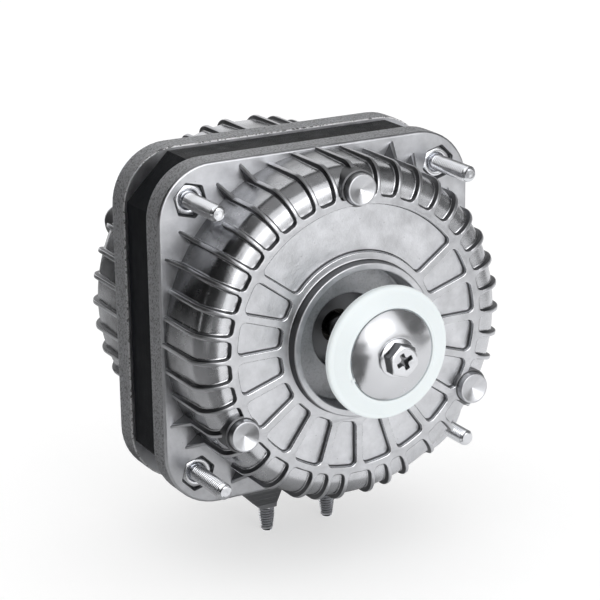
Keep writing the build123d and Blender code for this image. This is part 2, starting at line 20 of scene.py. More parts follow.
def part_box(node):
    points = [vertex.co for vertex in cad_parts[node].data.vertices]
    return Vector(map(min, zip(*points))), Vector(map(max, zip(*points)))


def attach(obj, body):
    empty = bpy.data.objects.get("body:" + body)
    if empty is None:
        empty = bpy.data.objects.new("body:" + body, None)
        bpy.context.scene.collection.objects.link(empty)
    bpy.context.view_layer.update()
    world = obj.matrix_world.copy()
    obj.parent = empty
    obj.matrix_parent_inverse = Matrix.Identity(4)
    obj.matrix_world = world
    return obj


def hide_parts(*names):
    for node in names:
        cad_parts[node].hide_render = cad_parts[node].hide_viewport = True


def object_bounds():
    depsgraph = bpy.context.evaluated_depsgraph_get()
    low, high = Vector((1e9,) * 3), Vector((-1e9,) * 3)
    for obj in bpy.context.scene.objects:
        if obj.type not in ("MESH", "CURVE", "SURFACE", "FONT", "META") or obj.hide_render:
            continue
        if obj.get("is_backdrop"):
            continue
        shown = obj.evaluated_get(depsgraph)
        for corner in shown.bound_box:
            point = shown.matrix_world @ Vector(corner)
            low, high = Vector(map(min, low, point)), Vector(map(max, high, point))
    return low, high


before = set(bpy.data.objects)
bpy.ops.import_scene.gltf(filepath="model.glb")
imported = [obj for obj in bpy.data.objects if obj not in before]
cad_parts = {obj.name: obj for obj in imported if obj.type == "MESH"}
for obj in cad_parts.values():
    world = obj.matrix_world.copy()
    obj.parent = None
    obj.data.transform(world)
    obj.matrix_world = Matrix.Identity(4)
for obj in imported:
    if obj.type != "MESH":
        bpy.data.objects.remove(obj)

bl_info = {
    "name": "Square fan motor",
    "version": (1, 0, 0),
    "blender": (4, 5, 0),
    "location": "View3D > Sidebar > Fan motor",
    "description": "Builds the castings, stack, fasteners, fan hub, finishes and studio of a fan motor",
    "category": "Add Mesh",
}

MM = 0.001


def lowest(node, axis):
    """Lowest coordinate of a node along an axis, in millimetres."""
    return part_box(node)[0][axis] / MM


def highest(node, axis):
    """Highest coordinate of a node along an axis, in millimetres."""
    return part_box(node)[1][axis] / MM


# Sizes read from the frame
FLANGE_HALF = highest("front_shield", 0)
FLANGE_T = highest("front_shield", 1)
COLLAR_TOP = -lowest("front_shield", 1)
OVERALL = highest("rear_shield", 1) - COLLAR_TOP
BOLT_TIP = -lowest("tie_bolts", 1)
NUT_SINK = lowest("tie_nuts", 1)
NUT_POCKET = highest("tie_nuts", 1)
HUB_R = highest("drive_hub", 0)
HUB_BACK_END = -highest("drive_hub", 1)
CAP_R = highest("cap_washer", 0)
CAP_SEAT = -highest("cap_washer", 1)
CAP_TOP = -lowest("cap_washer", 1)
SCREW_TOP = -lowest("hub_screw", 1)
SCREW_END = -highest("hub_screw", 1)
STUD_TIP = -lowest("base_studs", 2)
STUD_HEAD = -highest("base_studs", 2)
LUG_BOTTOM = -lowest("stator_core", 2)
STACK_MID = (highest("stator_core", 1) + lowest("stator_core", 1)) / 2
STACK_T = highest("stator_core", 1) - lowest("stator_core", 1)

# Taper of the lugs, seen from the side
LUG_SHOULDER = LUG_BOTTOM - 10.3
LUG_FOOT_HALF = 2.35
LUG_FOOT_L = 1.1

# Flange
CORNER_R = FLANGE_HALF / 3
BOLT_HALF_PITCH = 0.8 * FLANGE_HALF
BOLT_CORNERS = ((1, 1), (-1, 1), (-1, -1), (1, -1))
FOOT_DEPTH = 0.9                # foot of the dome below the flange's face

# Dome and its pockets
DOME_R = FLANGE_HALF - 0.1
DOME_TOP = COLLAR_TOP - 2.4
SHOULDER_R = 6.4
POCKET_DEPTH = 1.2
POCKET_END_R = 1.2
POCKET_DRAFT = 0.5
SHOULDER_MID = (DOME_R - SHOULDER_R, DOME_TOP - SHOULDER_R)
RING_R = SHOULDER_MID[0] - 1.7
FIN_HALF = 0.55
FIN_PITCH = 9.0
UPPER_FINS = (-36.0, 216.0)
LOWER_FINS = (6.0, 13.5, 21.0, 33.0, 43.5)
LOWER_MID = 270.0
SHORT_FIN_START = 8.0
GUSSET_SPAN = 20.0
GUSSET_LENGTH = 3.6
GUSSET_HEIGHT = 4.5

# Ring cells
CELL_IN_R = 20.7
CELL_OUT_R = RING_R - 1.8
CELL_DEPTH = 1.3
CELL_PITCH = 18.0
CELL_CORNER_R = 1.4
WEB_HALF = 0.95
WINDOW = (36.0, 144.0)

# Bosses
BOSS_R = 3.75
BOSS_MID_R = SHOULDER_MID[0] + 0.5
BOSS_TOP = DOME_TOP + 1.9
BOSS_ANGLES = (90.0, 210.0, 330.0)
DIMPLE_R = 3.3

# Collar, recess and bearing seat
COLLAR_OUT_R = 18.75
COLLAR_IN_R = 16.9
RECESS_FLOOR = DOME_TOP - 5.4
HUB_BORE_R = 9.4
HUB_BORE_FLOOR = RECESS_FLOOR - 5.0
SEAT_HOLE_R = 4.2
BEARING_CENTRE = 1.6
BEARING_R = 6.5
BEARING_FIT = 0.03
CHAMBER_R = 9.0
CHAMBER_TOP = 5.0
BEARING_BOSS_R = 11.5
BEARING_BOSS_END = -1.5
ROOF_T = 2.1
CAVITY_R = DOME_R - POCKET_DEPTH - 1.9
ROOF = DOME_TOP - CELL_DEPTH - ROOF_T
AXIS_R = 0.05                   # smallest ring of a lathe form that closes on the axis

# Cable entry
CABLE_HEIGHT = 6.2
CABLE_BOSS_R = 6.0
CABLE_HOLE_R = 4.2

# M4 hardware
M4_R = 2.0
SHANK_R = 1.75
BOLT_HOLE_R = M4_R + 0.1
M4_FLATS = 7.0
HEAD_T = 2.8
HEX_GAP = 0.15
BOLT_TIP_R = M4_R - 0.45
BOLT_TAPER = 0.5
STUD_TIP_R = 1.45
STUD_TAPER = 4.0
STUD_START = LUG_BOTTOM - 0.03
STUD_X = (highest("base_studs", 0) - lowest("base_studs", 0)) / 2 - M4_FLATS / sqrt(3)

# Fan hub, cap and screw
HUB_BORE = 3.03
HUB_NECK_R = 5.8
HUB_FRONT = CAP_SEAT - 0.7
HUB_BACK = HUB_FRONT - 2.0
CAP_HOLE_R = M4_R + 0.1
CAP_FLAT_R = 4.8
CAP_T = 0.9
SCREW_FLANGE_R = 4.6
SCREW_FLANGE_TOP = CAP_TOP + 0.7
CROSS_TURN = 24


# --- Sizes and colours that a user would change

class CastingSizes(bpy.types.PropertyGroup):
    edge: FloatProperty(
        name="Flange edge", description="Rounding of the flange's front edge", default=0.0006,
        min=0.0002, max=0.0012, unit="LENGTH", precision=4,
    )
    cell_edge: FloatProperty(
        name="Cell edge", description="Rounding of the edges of the ring's cells", default=0.00022,
        min=0.00005, max=0.0004, unit="LENGTH", precision=5,
    )
    collar_edge: FloatProperty(
        name="Collar edge", description="Rounding of the collar's rims", default=0.00035,
        min=0.0001, max=0.0006, unit="LENGTH", precision=5,
    )


class FastenerSizes(bpy.types.PropertyGroup):
    pitch: FloatProperty(
        name="Thread pitch", description="Rise of the thread in one turn", default=0.0007,
        min=0.0005, max=0.001, unit="LENGTH", precision=4,
    )
    depth: FloatProperty(
        name="Thread depth", description="From the thread's crest to its root", default=0.0004,
        min=0.0001, max=0.0005, unit="LENGTH", precision=4,
    )


class HubSizes(bpy.types.PropertyGroup):
    rim: FloatProperty(
        name="Rim rounding", description="Rounding of the hub plate's rim", default=0.0007,
        min=0.0002, max=0.0009, unit="LENGTH", precision=4,
    )
    nib: FloatProperty(
        name="Gate nib", description="Radius of the nib that the mould's gate leaves on the rim",
        default=0.0006, min=0.0002, max=0.001, unit="LENGTH", precision=4,
    )


class Finishes(bpy.types.PropertyGroup):
    cast: FloatVectorProperty(
        name="Cast metal", description="Colour of the castings", subtype="COLOR",
        default=(0.70, 0.708, 0.735), min=0, max=1,
    )
    lacquer: FloatVectorProperty(
        name="Lacquer", description="Colour of the stack's lacquer", subtype="COLOR",
        default=(0.003, 0.0035, 0.005), min=0, max=1,
    )
    nylon: FloatVectorProperty(
        name="White nylon", description="Colour of the fan hub", subtype="COLOR",
        default=(0.76, 0.81, 0.82), min=0, max=1,
    )
    zinc: FloatVectorProperty(
        name="Zinc", description="Colour of the plated steel", subtype="COLOR",
        default=(0.80, 0.81, 0.84), min=0, max=1,
    )
    wear: FloatProperty(
        name="Wear", description="How far edges are rubbed bright", default=0.5, min=0, max=1,
        subtype="FACTOR",
    )


class Studio(bpy.types.PropertyGroup):
    key: FloatProperty(
        name="Key lamp", description="Power of the large lamp beside the camera", default=1.2,
        min=0, max=60, unit="POWER",
    )
    floor: FloatVectorProperty(
        name="Floor", description="Colour of the floor", subtype="COLOR", default=(0.56, 0.56, 0.56),
        min=0, max=1,
    )


# --- Drawing on the shaft axis, in millimetres

def front_place(points):
    """Points on the shaft axis, stood up in the frame."""
    x, y, z = np.asarray(points, float).T
    return np.column_stack([x, -z, y]) * MM


def rear_place(points):
    """Points of the rear shield, turned over behind the stack and stood up in the frame."""
    x, y, z = np.asarray(points, float).T
    return np.column_stack([x, OVERALL + z, -y]) * MM


def polar(radius, angle, height=0.0):
    return (radius * cos(radians(angle)), radius * sin(radians(angle)), height)


# Numbers of a casting's finishes; the side, crevice and recess finishes hold painted shade and the rim finish
# a painted highlight
FLAT, POCKET, CELL_FLOOR, SHADED_SIDE, CREVICE_SHADE, CHIPPED, RIM_HIGHLIGHT, RECESS = range(8)


class Surface:
    """Points and faces of one piece, with the number of each face's finish."""

    def __init__(self):
        self.points = []
        self.faces = []
        self.finishes = []
        self.count = 0

    def add(self, points, faces, finish=0):
        base = self.count
        points = np.asarray(points, float)
        self.points.append(points)
        self.count += len(points)
        self.faces += [tuple(base + i for i in face) for face in faces]
        if isinstance(finish, int):
            finish = [finish] * len(faces)
        self.finishes += list(finish)

    def grid(self, rows, closed=True, flip=False, finish=0):
        """Sheet through rows of points; closed joins each row's last point to its first."""
        rows = np.asarray(rows, float)
        n, m = rows.shape[:2]
        faces = []
        last = m if closed else m - 1
        for i in range(n - 1):
            for j in range(last):
                k = (j + 1) % m
                quad = (i * m + j, i * m + k, (i + 1) * m + k, (i + 1) * m + j)
                faces.append(quad[::-1] if flip else quad)
        self.add(rows.reshape(-1, 3), faces, finish)

    def turned(self, profile, segments, flip=False, finish=0, place=None):
        """Lathe form from (radius, height) points; a point on the axis ends it in a disc."""
        turn = np.arange(segments) * 2 * pi / segments
        rows = []
        for r, z in profile:
            rows.append(np.column_stack([r * np.cos(turn), r * np.sin(turn), np.full(segments, z)]))
        rows = np.array(rows)
        if place is not None:
            rows = rows + np.asarray(place, float)
        self.grid(rows, True, flip, finish)

    def fill(self, loops, flip=False, finish=0):
        """Flat face inside the first loop and round the others."""
        loops = [np.asarray(loop, float) for loop in loops]
        flat = [[Vector((p[0], p[1], 0)) for p in loop] for loop in loops]
        points = np.vstack(loops)
        faces = []
        for a, b, c in tessellate_polygon(flat):
            pa, pb, pc = points[a], points[b], points[c]
            turn = (pb[0] - pa[0]) * (pc[1] - pa[1]) - (pb[1] - pa[1]) * (pc[0] - pa[0])
            if abs(turn) < 1e-12:
                continue
            faces.append((a, b, c) if (turn > 0) != flip else (a, c, b))
        self.add(points, faces, finish)

    def place(self, name, body, stand, materials, nodes=(), slot=None, sharp=38.0):
        """Make the Blender object, with like points joined and its corners kept sharp."""
        points = stand(np.vstack(self.points))
        mesh = bpy.data.meshes.new(name)
        mesh.from_pydata(points.tolist(), [], self.faces)
        for material in materials:
            mesh.materials.append(material)
        mesh.polygons.foreach_set("material_index", self.finishes)
        work = bmesh.new()
        work.from_mesh(mesh)
        bmesh.ops.remove_doubles(work, verts=work.verts, dist=2e-6)
        bmesh.ops.dissolve_degenerate(work, edges=work.edges, dist=1e-7)
        limit = radians(sharp)
        for face in work.faces:
            face.smooth = True
        for edge in work.edges:
            if len(edge.link_faces) == 2 and edge.calc_face_angle(0) > limit:
                edge.smooth = False
        work.to_mesh(mesh)
        work.free()
        piece = bpy.data.objects.new(name, mesh)
        bpy.context.scene.collection.objects.link(piece)
        even = piece.modifiers.new("Even shading", "WEIGHTED_NORMAL")
        even.keep_sharp = True
        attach(piece, body)
        if nodes:
            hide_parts(*nodes)
        return piece


def rounded(points, radii, steps=4):
    """Profile with its inner corners rounded: one radius for each point between the ends."""
    out = [points[0]]
    for i in range(1, len(points) - 1):
        before, here, after = (np.asarray(points[i + k], float) for k in (-1, 0, 1))
        radius = radii[i - 1]
        u, v = before - here, after - here
        lu, lv = np.linalg.norm(u), np.linalg.norm(v)
        if radius <= 0 or lu < 1e-9 or lv < 1e-9:
            out.append(tuple(here))
            continue
        u, v = u / lu, v / lv
        half = np.arccos(np.clip(u @ v, -1, 1)) / 2
        run = min(radius / tan(half), 0.49 * lu, 0.49 * lv)
        radius = run * tan(half)
        mid = here + (u + v) / np.linalg.norm(u + v) * radius / sin(half)
        start, end = here + u * run - mid, here + v * run - mid
        sweep = pi - 2 * half
        for k in range(steps + 1):
            t = k / steps
            arc = (start * sin((1 - t) * sweep) + end * sin(t * sweep)) / sin(sweep)
            out.append(tuple(mid + arc))
    out.append(points[-1])
    return out


def circle(radius, segments, height, place=(0, 0)):
    turn = np.arange(segments) * 2 * pi / segments
    return np.column_stack(
        [place[0] + radius * np.cos(turn), place[1] + radius * np.sin(turn), np.full(segments, height)]
    )


def arc_points(mid, radius, start, end, count):
    """Points on an arc between two angles in degrees."""
    return [
        (mid[0] + radius * cos(radians(a)), mid[1] + radius * sin(radians(a)))
        for a in np.linspace(start, end, count)
    ]


def toward(azimuth, elevation, distance):
    """Place at a distance from the origin, with the azimuth counted from +X towards +Y."""
    level = distance * cos(radians(elevation))
    return (*polar(level, azimuth)[:2], distance * sin(radians(elevation)))


def at_height(outline, height):
    return np.array([(x, y, height) for x, y in outline])


# --- The casting

def fin_angles():
    first, last = UPPER_FINS
    count = round((last - first) / FIN_PITCH)
    upper = [first + FIN_PITCH * i for i in range(count + 1)]
    lower = [LOWER_MID + side * step for step in LOWER_FINS for side in (-1, 1)]
    return sorted(angle % 360 for angle in upper + lower)


# Height of a fin's section, as a share of the pocket's depth, at distances from its middle
FIN_SECTION = (
    (0.0, 1.0), (0.28, 1.0), (0.40, 0.97), (0.48, 0.88), (0.53, 0.72), (0.58, 0.42), (0.64, 0.17),
    (0.74, 0.05), (0.92, 0.0),
)
# Depth of a pocket's end, as a share, at distances past its end line
END_SECTION = ((-0.16, 0.0), (-0.06, 0.03), (0.0, 0.14), (0.05, 0.5), (0.1, 0.84), (0.18, 0.97), (0.3, 1.0))
SHOULDER_STEPS = 14
POCKET_STEP = 1.3
FLANK_LEVELS = (0.9, 0.79, 0.7, 0.655, 0.635, 0.6, 0.48, 0.3629, 0.27, 0.18, 0.1, 0.04, 0.0)


def pocket_columns():
    """Columns of the shoulder's grid.

    A column is (fin angle, distance, next fin angle, distance from it, share between the two, fin height).
    """
    angles = fin_angles()
    columns = []
    reach = FIN_HALF + POCKET_END_R
    apron = [1.08, 1.3, reach]
    section = [-u for u, _ in FIN_SECTION[:0:-1]] + [u for u, _ in FIN_SECTION]
    steps = [-u for u in apron[::-1]] + section + apron
    heights = dict(FIN_SECTION)
    for i, angle in enumerate(angles):
        after = angles[(i + 1) % len(angles)]
        gap = (after - angle) % 360
        for u in steps:
            columns.append((angle, u, angle, u, 0.0, heights.get(abs(u), 0.0)))
        width = radians(gap) * SHOULDER_MID[0] - 2 * reach
        inner = max(1, round(width / POCKET_STEP))
        for k in range(1, inner + 1):
            columns.append((angle, reach, angle + gap, -reach, k / (inner + 1), 0.0))
    return columns


def end_shift(distance):
    """How far a pocket's end line stands back near its side wall, which gives it round corners."""
    inside = min(max(distance, 0.0), POCKET_END_R)
    return POCKET_END_R - sqrt(max(POCKET_END_R**2 - (POCKET_END_R - inside) ** 2, 0.0))


def fin_form(angle):
    """Whether the fin at this angle stops short beside a nut, and whether it has a gusset."""
    off = abs((angle % 90) - 45)
    return off < FIN_PITCH / 2, FIN_PITCH / 2 <= off < GUSSET_SPAN


def shoulder_point(column, row):
    """One point of the shoulder's grid, and how much of a fin it is on."""
    angle, u, next_angle, v, share, height = column
    kind, value = row
    to_wall = min(abs(u), abs(v)) - FIN_HALF if share == 0 else POCKET_END_R
    shift = end_shift(to_wall)
    mid_r, mid_z = SHOULDER_MID
    short, gusset = fin_form(angle)
    fin = height
    if kind == "land":
        start = RING_R - 0.8
        r = start + (RING_R + shift + END_SECTION[0][0] - start) * value
        z = DOME_TOP
    elif kind == "end":
        distance, depth = value
        r = RING_R + shift + distance
        z = DOME_TOP - POCKET_DEPTH * depth * (1 - fin)
    elif kind == "floor":
        start = RING_R + shift + END_SECTION[-1][0]
        r = start + (mid_r - start) * value
        z = DOME_TOP - POCKET_DEPTH * (1 - fin)
    elif kind == "arc":
        size = SHOULDER_R - POCKET_DEPTH * (1 - fin)
        r = mid_r + size * sin(value)
        z = mid_z + size * cos(value)
    else:
        z = mid_z * value
        low = 1 - value
        if short and z < SHORT_FIN_START:
            fin = 0.0
        base = DOME_R - POCKET_DEPTH + POCKET_DRAFT * low
        top = DOME_R
        if gusset:
            tip = GUSSET_LENGTH - (FIN_HALF - sqrt(max(FIN_HALF**2 - min(abs(u), FIN_HALF) ** 2, 0)))
            top += tip * min(max((GUSSET_HEIGHT - z) / GUSSET_HEIGHT, 0), 1)
        r = base + (top - base) * fin
    if kind == "foot":
        z = -FOOT_DEPTH
    turn = radians(angle) + asin(u / r)
    if share:
        far = radians(next_angle) + asin(v / r)
        turn += (far - turn) * share
    return (r * cos(turn), r * sin(turn), z), fin


def shoulder(surface, keep):
    """Fins, pockets and gussets round the dome, from the ring to the flange."""
    rows = [("land", t) for t in (0.0, 0.5)]
    rows += [("end", pair) for pair in END_SECTION]
    rows += [("floor", t) for t in (0.5, 1.0)]
    rows += [("arc", radians(90) * k / SHOULDER_STEPS) for k in range(1, SHOULDER_STEPS + 1)]
    rows += [("flank", t) for t in FLANK_LEVELS]
    rows += [("foot", 0.0)]
    columns = pocket_columns()
    points = np.empty((len(rows), len(columns), 3))
    fins = np.empty((len(rows), len(columns)))
    for i, row in enumerate(rows):
        for j, column in enumerate(columns):
            points[i, j], fins[i, j] = shoulder_point(column, row)
    n, m = fins.shape
    faces, finishes = [], []
    first_wall, first_floor = 2, 1 + len(END_SECTION)
    for i in range(n - 1):
        for j in range(m):
            k = (j + 1) % m
            quad = (i * m + j, (i + 1) * m + j, (i + 1) * m + k, i * m + k)
            if not keep(points.reshape(-1, 3)[list(quad)].mean(axis=0)):
                continue
            faces.append(quad)
            low, high = sorted((fins[i, j], fins[i, k]))
            if i < first_wall or low > 0.8:
                finishes.append(FLAT)
            # Fin sides and pocket ends take the crevice finish, which is painted shade
            elif i < first_floor or high > 0.1:
                finishes.append(CREVICE_SHADE)
            else:
                finishes.append(POCKET)
    surface.add(points.reshape(-1, 3), faces, finishes)
    return points[0]


def cell_outline(first, last, inset):
    """Outline of a ring cell between two webs, moved in by an inset."""
    corner = CELL_CORNER_R - inset
    lateral = WEB_HALF + CELL_CORNER_R
    outer_mid, inner_mid = CELL_OUT_R - CELL_CORNER_R, CELL_IN_R + CELL_CORNER_R
    outer_turn, inner_turn = degrees(asin(lateral / outer_mid)), degrees(asin(lateral / inner_mid))
    span = last - first - 2 * outer_turn
    many = max(4, ceil(span / 3))
    points = []
    mid = polar(outer_mid, first + outer_turn)[:2]
    points += arc_points(mid, corner, first - 90, first + outer_turn, 7)
    points += arc_points((0, 0), CELL_OUT_R - inset, first + outer_turn, last - outer_turn, many)[1:-1]
    mid = polar(outer_mid, last - outer_turn)[:2]
    points += arc_points(mid, corner, last - outer_turn, last + 90, 7)
    mid = polar(inner_mid, last - inner_turn)[:2]
    points += arc_points(mid, corner, last + 90, last - inner_turn + 180, 7)
    points += arc_points((0, 0), CELL_IN_R + inset, last - inner_turn, first + inner_turn, many)[1:-1]
    mid = polar(inner_mid, first + inner_turn)[:2]
    points += arc_points(mid, corner, first + inner_turn + 180, first + 270, 7)
    return points


def sunk(surface, outline, top, floor, edge, draft=0.08, bright=0.45):
    """Recess with rounded rim and root; its rim carries a painted highlight, the lower share of its wall and
    its root a painted shade, and the upper share of its wall the plain finish.

    outline(inset) gives its points. Returns the loop in the top face.
    """
    steps = [(-edge, top)]
    steps += [(-edge + edge * sin(t), top - edge + edge * cos(t)) for t in np.radians((30, 60, 90))]
    root = edge * 0.9
    wall = top - edge - floor - root
    steps += [(draft * bright, top - edge - bright * wall), (draft, floor + root)]
    steps += [(draft + root - root * cos(t), floor + root - root * sin(t)) for t in np.radians((30, 60, 90))]
    loops = np.array([at_height(outline(inset), z) for inset, z in steps])
    # The rim takes a brighter, smoother finish: partly polish from tumbling, partly a painted highlight
    surface.grid(loops[:4][::-1], True, False, RIM_HIGHLIGHT)
    surface.grid(loops[3:5][::-1], True, False, FLAT)
    # The lower wall and the root take the crevice finish, a painted shade
    surface.grid(loops[4:][::-1], True, False, CREVICE_SHADE)
    surface.fill([loops[-1]], False, CELL_FLOOR)
    return loops[0]


def ring(surface, edge, outer, inner):
    """Flat ring with its sunk cells, between the shoulder and the collar."""
    bounds = [WINDOW]
    angle = WINDOW[1]
    while angle < WINDOW[0] + 360 - 1:
        bounds.append((angle, angle + CELL_PITCH))
        angle += CELL_PITCH
    rims = []
    for first, last in bounds:
        outline = lambda inset, a=first, b=last: cell_outline(a, b, inset)
        rims.append(sunk(surface, outline, DOME_TOP, DOME_TOP - CELL_DEPTH, edge))
    surface.fill([outer, inner, *rims])


def square_outline(half, corner, inset, steps=12):
    """Rounded square moved in by an inset."""
    points = []
    mid = half - corner
    for k, (sx, sy) in enumerate(BOLT_CORNERS):
        points += arc_points((sx * mid, sy * mid), corner - inset, 90 * k, 90 * k + 90, steps + 1)
    return points


def hex_outline(flats, turn, inset, corner=0.35):
    """Hexagon over its flats with a flat on the given angle and small round corners, moved in by an inset."""
    half = flats / 2 - inset
    corner = max(corner - inset, 0.05)
    points = []
    for i in range(6):
        middle = turn + 30 + 60 * i
        mid = polar((half - corner) / cos(radians(30)), middle)[:2]
        points += arc_points(mid, corner, middle - 30, middle + 30, 4)
    return points


def bolt_places():
    for sx, sy in BOLT_CORNERS:
        yield (sx * BOLT_HALF_PITCH, sy * BOLT_HALF_PITCH), 45 if sx * sy > 0 else -45


def moved(outline, place):
    return [(x + place[0], y + place[1]) for x, y in outline]


def flange(surface, edge):
    """Rounded square flange with a rounded front edge, hex pockets and bolt holes."""
    arc = np.radians((0, 15, 30, 45, 60, 75, 90))
    steps = [(edge - edge * sin(t), -edge + edge * cos(t)) for t in arc]
    levels = list(np.linspace(-edge, -FLANGE_T + 0.26, 4))[1:]
    steps += [(0.0, z) for z in levels] + [(0.1, -FLANGE_T + 0.08), (0.36, -FLANGE_T)]
    loops = [at_height(square_outline(FLANGE_HALF, CORNER_R, inset), z) for inset, z in steps]
    surface.grid(loops[:len(arc)], True, True, FLAT)
    # The flange's sides take a rough, speckled as-cast skin in a darker tone, which is painted shade
    surface.grid(loops[len(arc) - 1:-2], True, True, SHADED_SIDE)
    surface.grid(loops[-3:], True, True, CHIPPED)
    front, back = [loops[0]], [loops[-1]]
    for place, turn in bolt_places():
        outline = lambda inset, p=place, t=turn: moved(hex_outline(M4_FLATS + 2 * HEX_GAP, t, inset), p)
        rim = [
            at_height(outline(-0.3), 0.0),
            at_height(outline(-0.12), -0.14),
            at_height(outline(0.0), -0.4),
            at_height(outline(0.0), -NUT_POCKET),
        ]
        # The hex pocket's wall takes the crevice finish, a painted shade
        surface.grid(rim[::-1], True, False, CREVICE_SHADE)
        hole = circle(BOLT_HOLE_R, 32, -NUT_POCKET, place)
        surface.fill([rim[-1], hole])
        low = circle(BOLT_HOLE_R, 32, -FLANGE_T, place)
        surface.grid([low, hole])
        front.append(rim[0])
        back.append(low)
    inside = circle(CAVITY_R, 128, 0.0)
    surface.fill([front[0], inside, *front[1:]])
    surface.fill([back[0], circle(CAVITY_R, 128, -FLANGE_T), *back[1:]], True)


def boss(surface, angle):
    """Round boss on the shoulder with a dimpled top."""
    profile = rounded(
        [
            (0.02, BOSS_TOP - 1.0), (DIMPLE_R, BOSS_TOP), (BOSS_R, BOSS_TOP), (BOSS_R + 0.12, DOME_TOP),
            (BOSS_R + 0.7, DOME_TOP - 0.02), (BOSS_R + 0.7, SHOULDER_MID[1]),
        ],
        [0.15, 0.25, 0.5, 0.0],
    )
    place = (*polar(BOSS_MID_R, angle)[:2], 0)
    surface.turned(profile[:4], 48, True, FLAT, place)
    surface.turned(profile[3:12], 48, True, FLAT, place)
    # The boss's foot takes the crevice finish, a painted shade
    surface.turned(profile[11:], 48, True, CREVICE_SHADE, place)


def lathe(surface, profile, runs):
    """Turned form in runs of its profile, each with a finish of its own: (first, last, finish)."""
    for first, last, finish in runs:
        surface.turned(profile[first:last], 144, False, finish)


def centre(surface, edge, blind):
    """Collar, recess, hub bore and bearing seat, and the hollow behind them.

    Returns the loop in the ring's face.
    """
    outside = [
        (COLLAR_OUT_R + 0.7, DOME_TOP), (COLLAR_OUT_R + 0.05, DOME_TOP), (COLLAR_OUT_R - 0.1, COLLAR_TOP),
        (COLLAR_IN_R, COLLAR_TOP), (COLLAR_IN_R - 0.15, RECESS_FLOOR),
    ]
    radii = [0.5, edge, edge, 0.6]
    if blind:
        outside += [(AXIS_R, RECESS_FLOOR)]
    else:
        outside += [
            (HUB_BORE_R, RECESS_FLOOR), (HUB_BORE_R - 0.1, HUB_BORE_FLOOR), (SEAT_HOLE_R, HUB_BORE_FLOOR),
        ]
        radii += [0.3, 0.3]
    outside = rounded(outside, radii, 5)
    # The collar's foot and outer wall, and the hub bore's wall and floor, take the crevice finish, a painted
    # shade; the collar's inner wall and the recess floor take the recess finish, which is darkened by painted
    # shade
    lathe(surface, outside, [(0, 4, FLAT), (3, 9, CREVICE_SHADE), (8, 19, FLAT), (18, 31, RECESS)])
    if not blind:
        lathe(surface, outside, [(30, None, CREVICE_SHADE)])
    seat = BEARING_CENTRE + BEARING_R * sqrt(2) + BEARING_FIT
    under = RECESS_FLOOR - ROOF_T
    inside = [(AXIS_R, HUB_BORE_FLOOR)] if blind else []
    inside += [
        (SEAT_HOLE_R, HUB_BORE_FLOOR), (SEAT_HOLE_R, seat - SEAT_HOLE_R), (seat - CHAMBER_TOP, CHAMBER_TOP),
        (CHAMBER_R, CHAMBER_TOP), (CHAMBER_R, BEARING_BOSS_END), (BEARING_BOSS_R, BEARING_BOSS_END),
        (BEARING_BOSS_R, under), (COLLAR_OUT_R, under), (COLLAR_OUT_R, ROOF), (SHOULDER_MID[0], ROOF),
        (CAVITY_R, ROOF - (CAVITY_R - SHOULDER_MID[0])), (CAVITY_R, -FLANGE_T),
    ]
    lathe(surface, inside, [(0, None, FLAT)])
    return circle(outside[0][0], 144, DOME_TOP)


def cable_boss(surface):
    """Flat-faced boss round the cable hole, on the side of the rear shield."""
    start = CAVITY_R - 0.2
    profile = rounded(
        [(CABLE_HOLE_R, start), (CABLE_HOLE_R, DOME_R), (CABLE_BOSS_R, DOME_R), (CABLE_BOSS_R + 0.1, start)],
        [0.1, 0.3],
    )
    turn = np.arange(64) * 2 * pi / 64
    rows = [
        np.column_stack([np.full(64, x), r * np.cos(turn), CABLE_HEIGHT + r * np.sin(turn)])
        for r, x in profile
    ]
    surface.grid(rows, True, True)


def casting(sizes, rear):
    """One shield, front or rear."""
    surface = Surface()

    def keep(point):
        if not rear or point[0] < 0:
            return True
        return point[1] ** 2 + (point[2] - CABLE_HEIGHT) ** 2 > (CABLE_BOSS_R - 0.9) ** 2

    outer = shoulder(surface, keep)
    inner = centre(surface, sizes.collar_edge / MM, rear)
    ring(surface, sizes.cell_edge / MM, outer, inner)
    flange(surface, sizes.edge / MM)
    for angle in BOSS_ANGLES:
        boss(surface, angle)
    if rear:
        cable_boss(surface)
    return surface


# --- Fasteners

THREAD_SEGMENTS = 40
# Corners of the thread's section, as shares of its pitch from the middle of the crest
THREAD_CORNERS = (0.0, 0.09, 0.4, 0.5, 0.6, 0.91)
CREST_START, CREST_RISE = 0.2, 0.62
RUNOUT_SLOPE = 1.2
THREAD_TOP = 0.12               # the thread stops this far from the end
END_RINGS = ((0.93, 0.0), (0.55, 0.03), (0.02, 0.08))
# Faces whose crest share stays below this get the painted shade of the roots
ROOT_LIMIT = 0.45
HEX_STEPS = 72


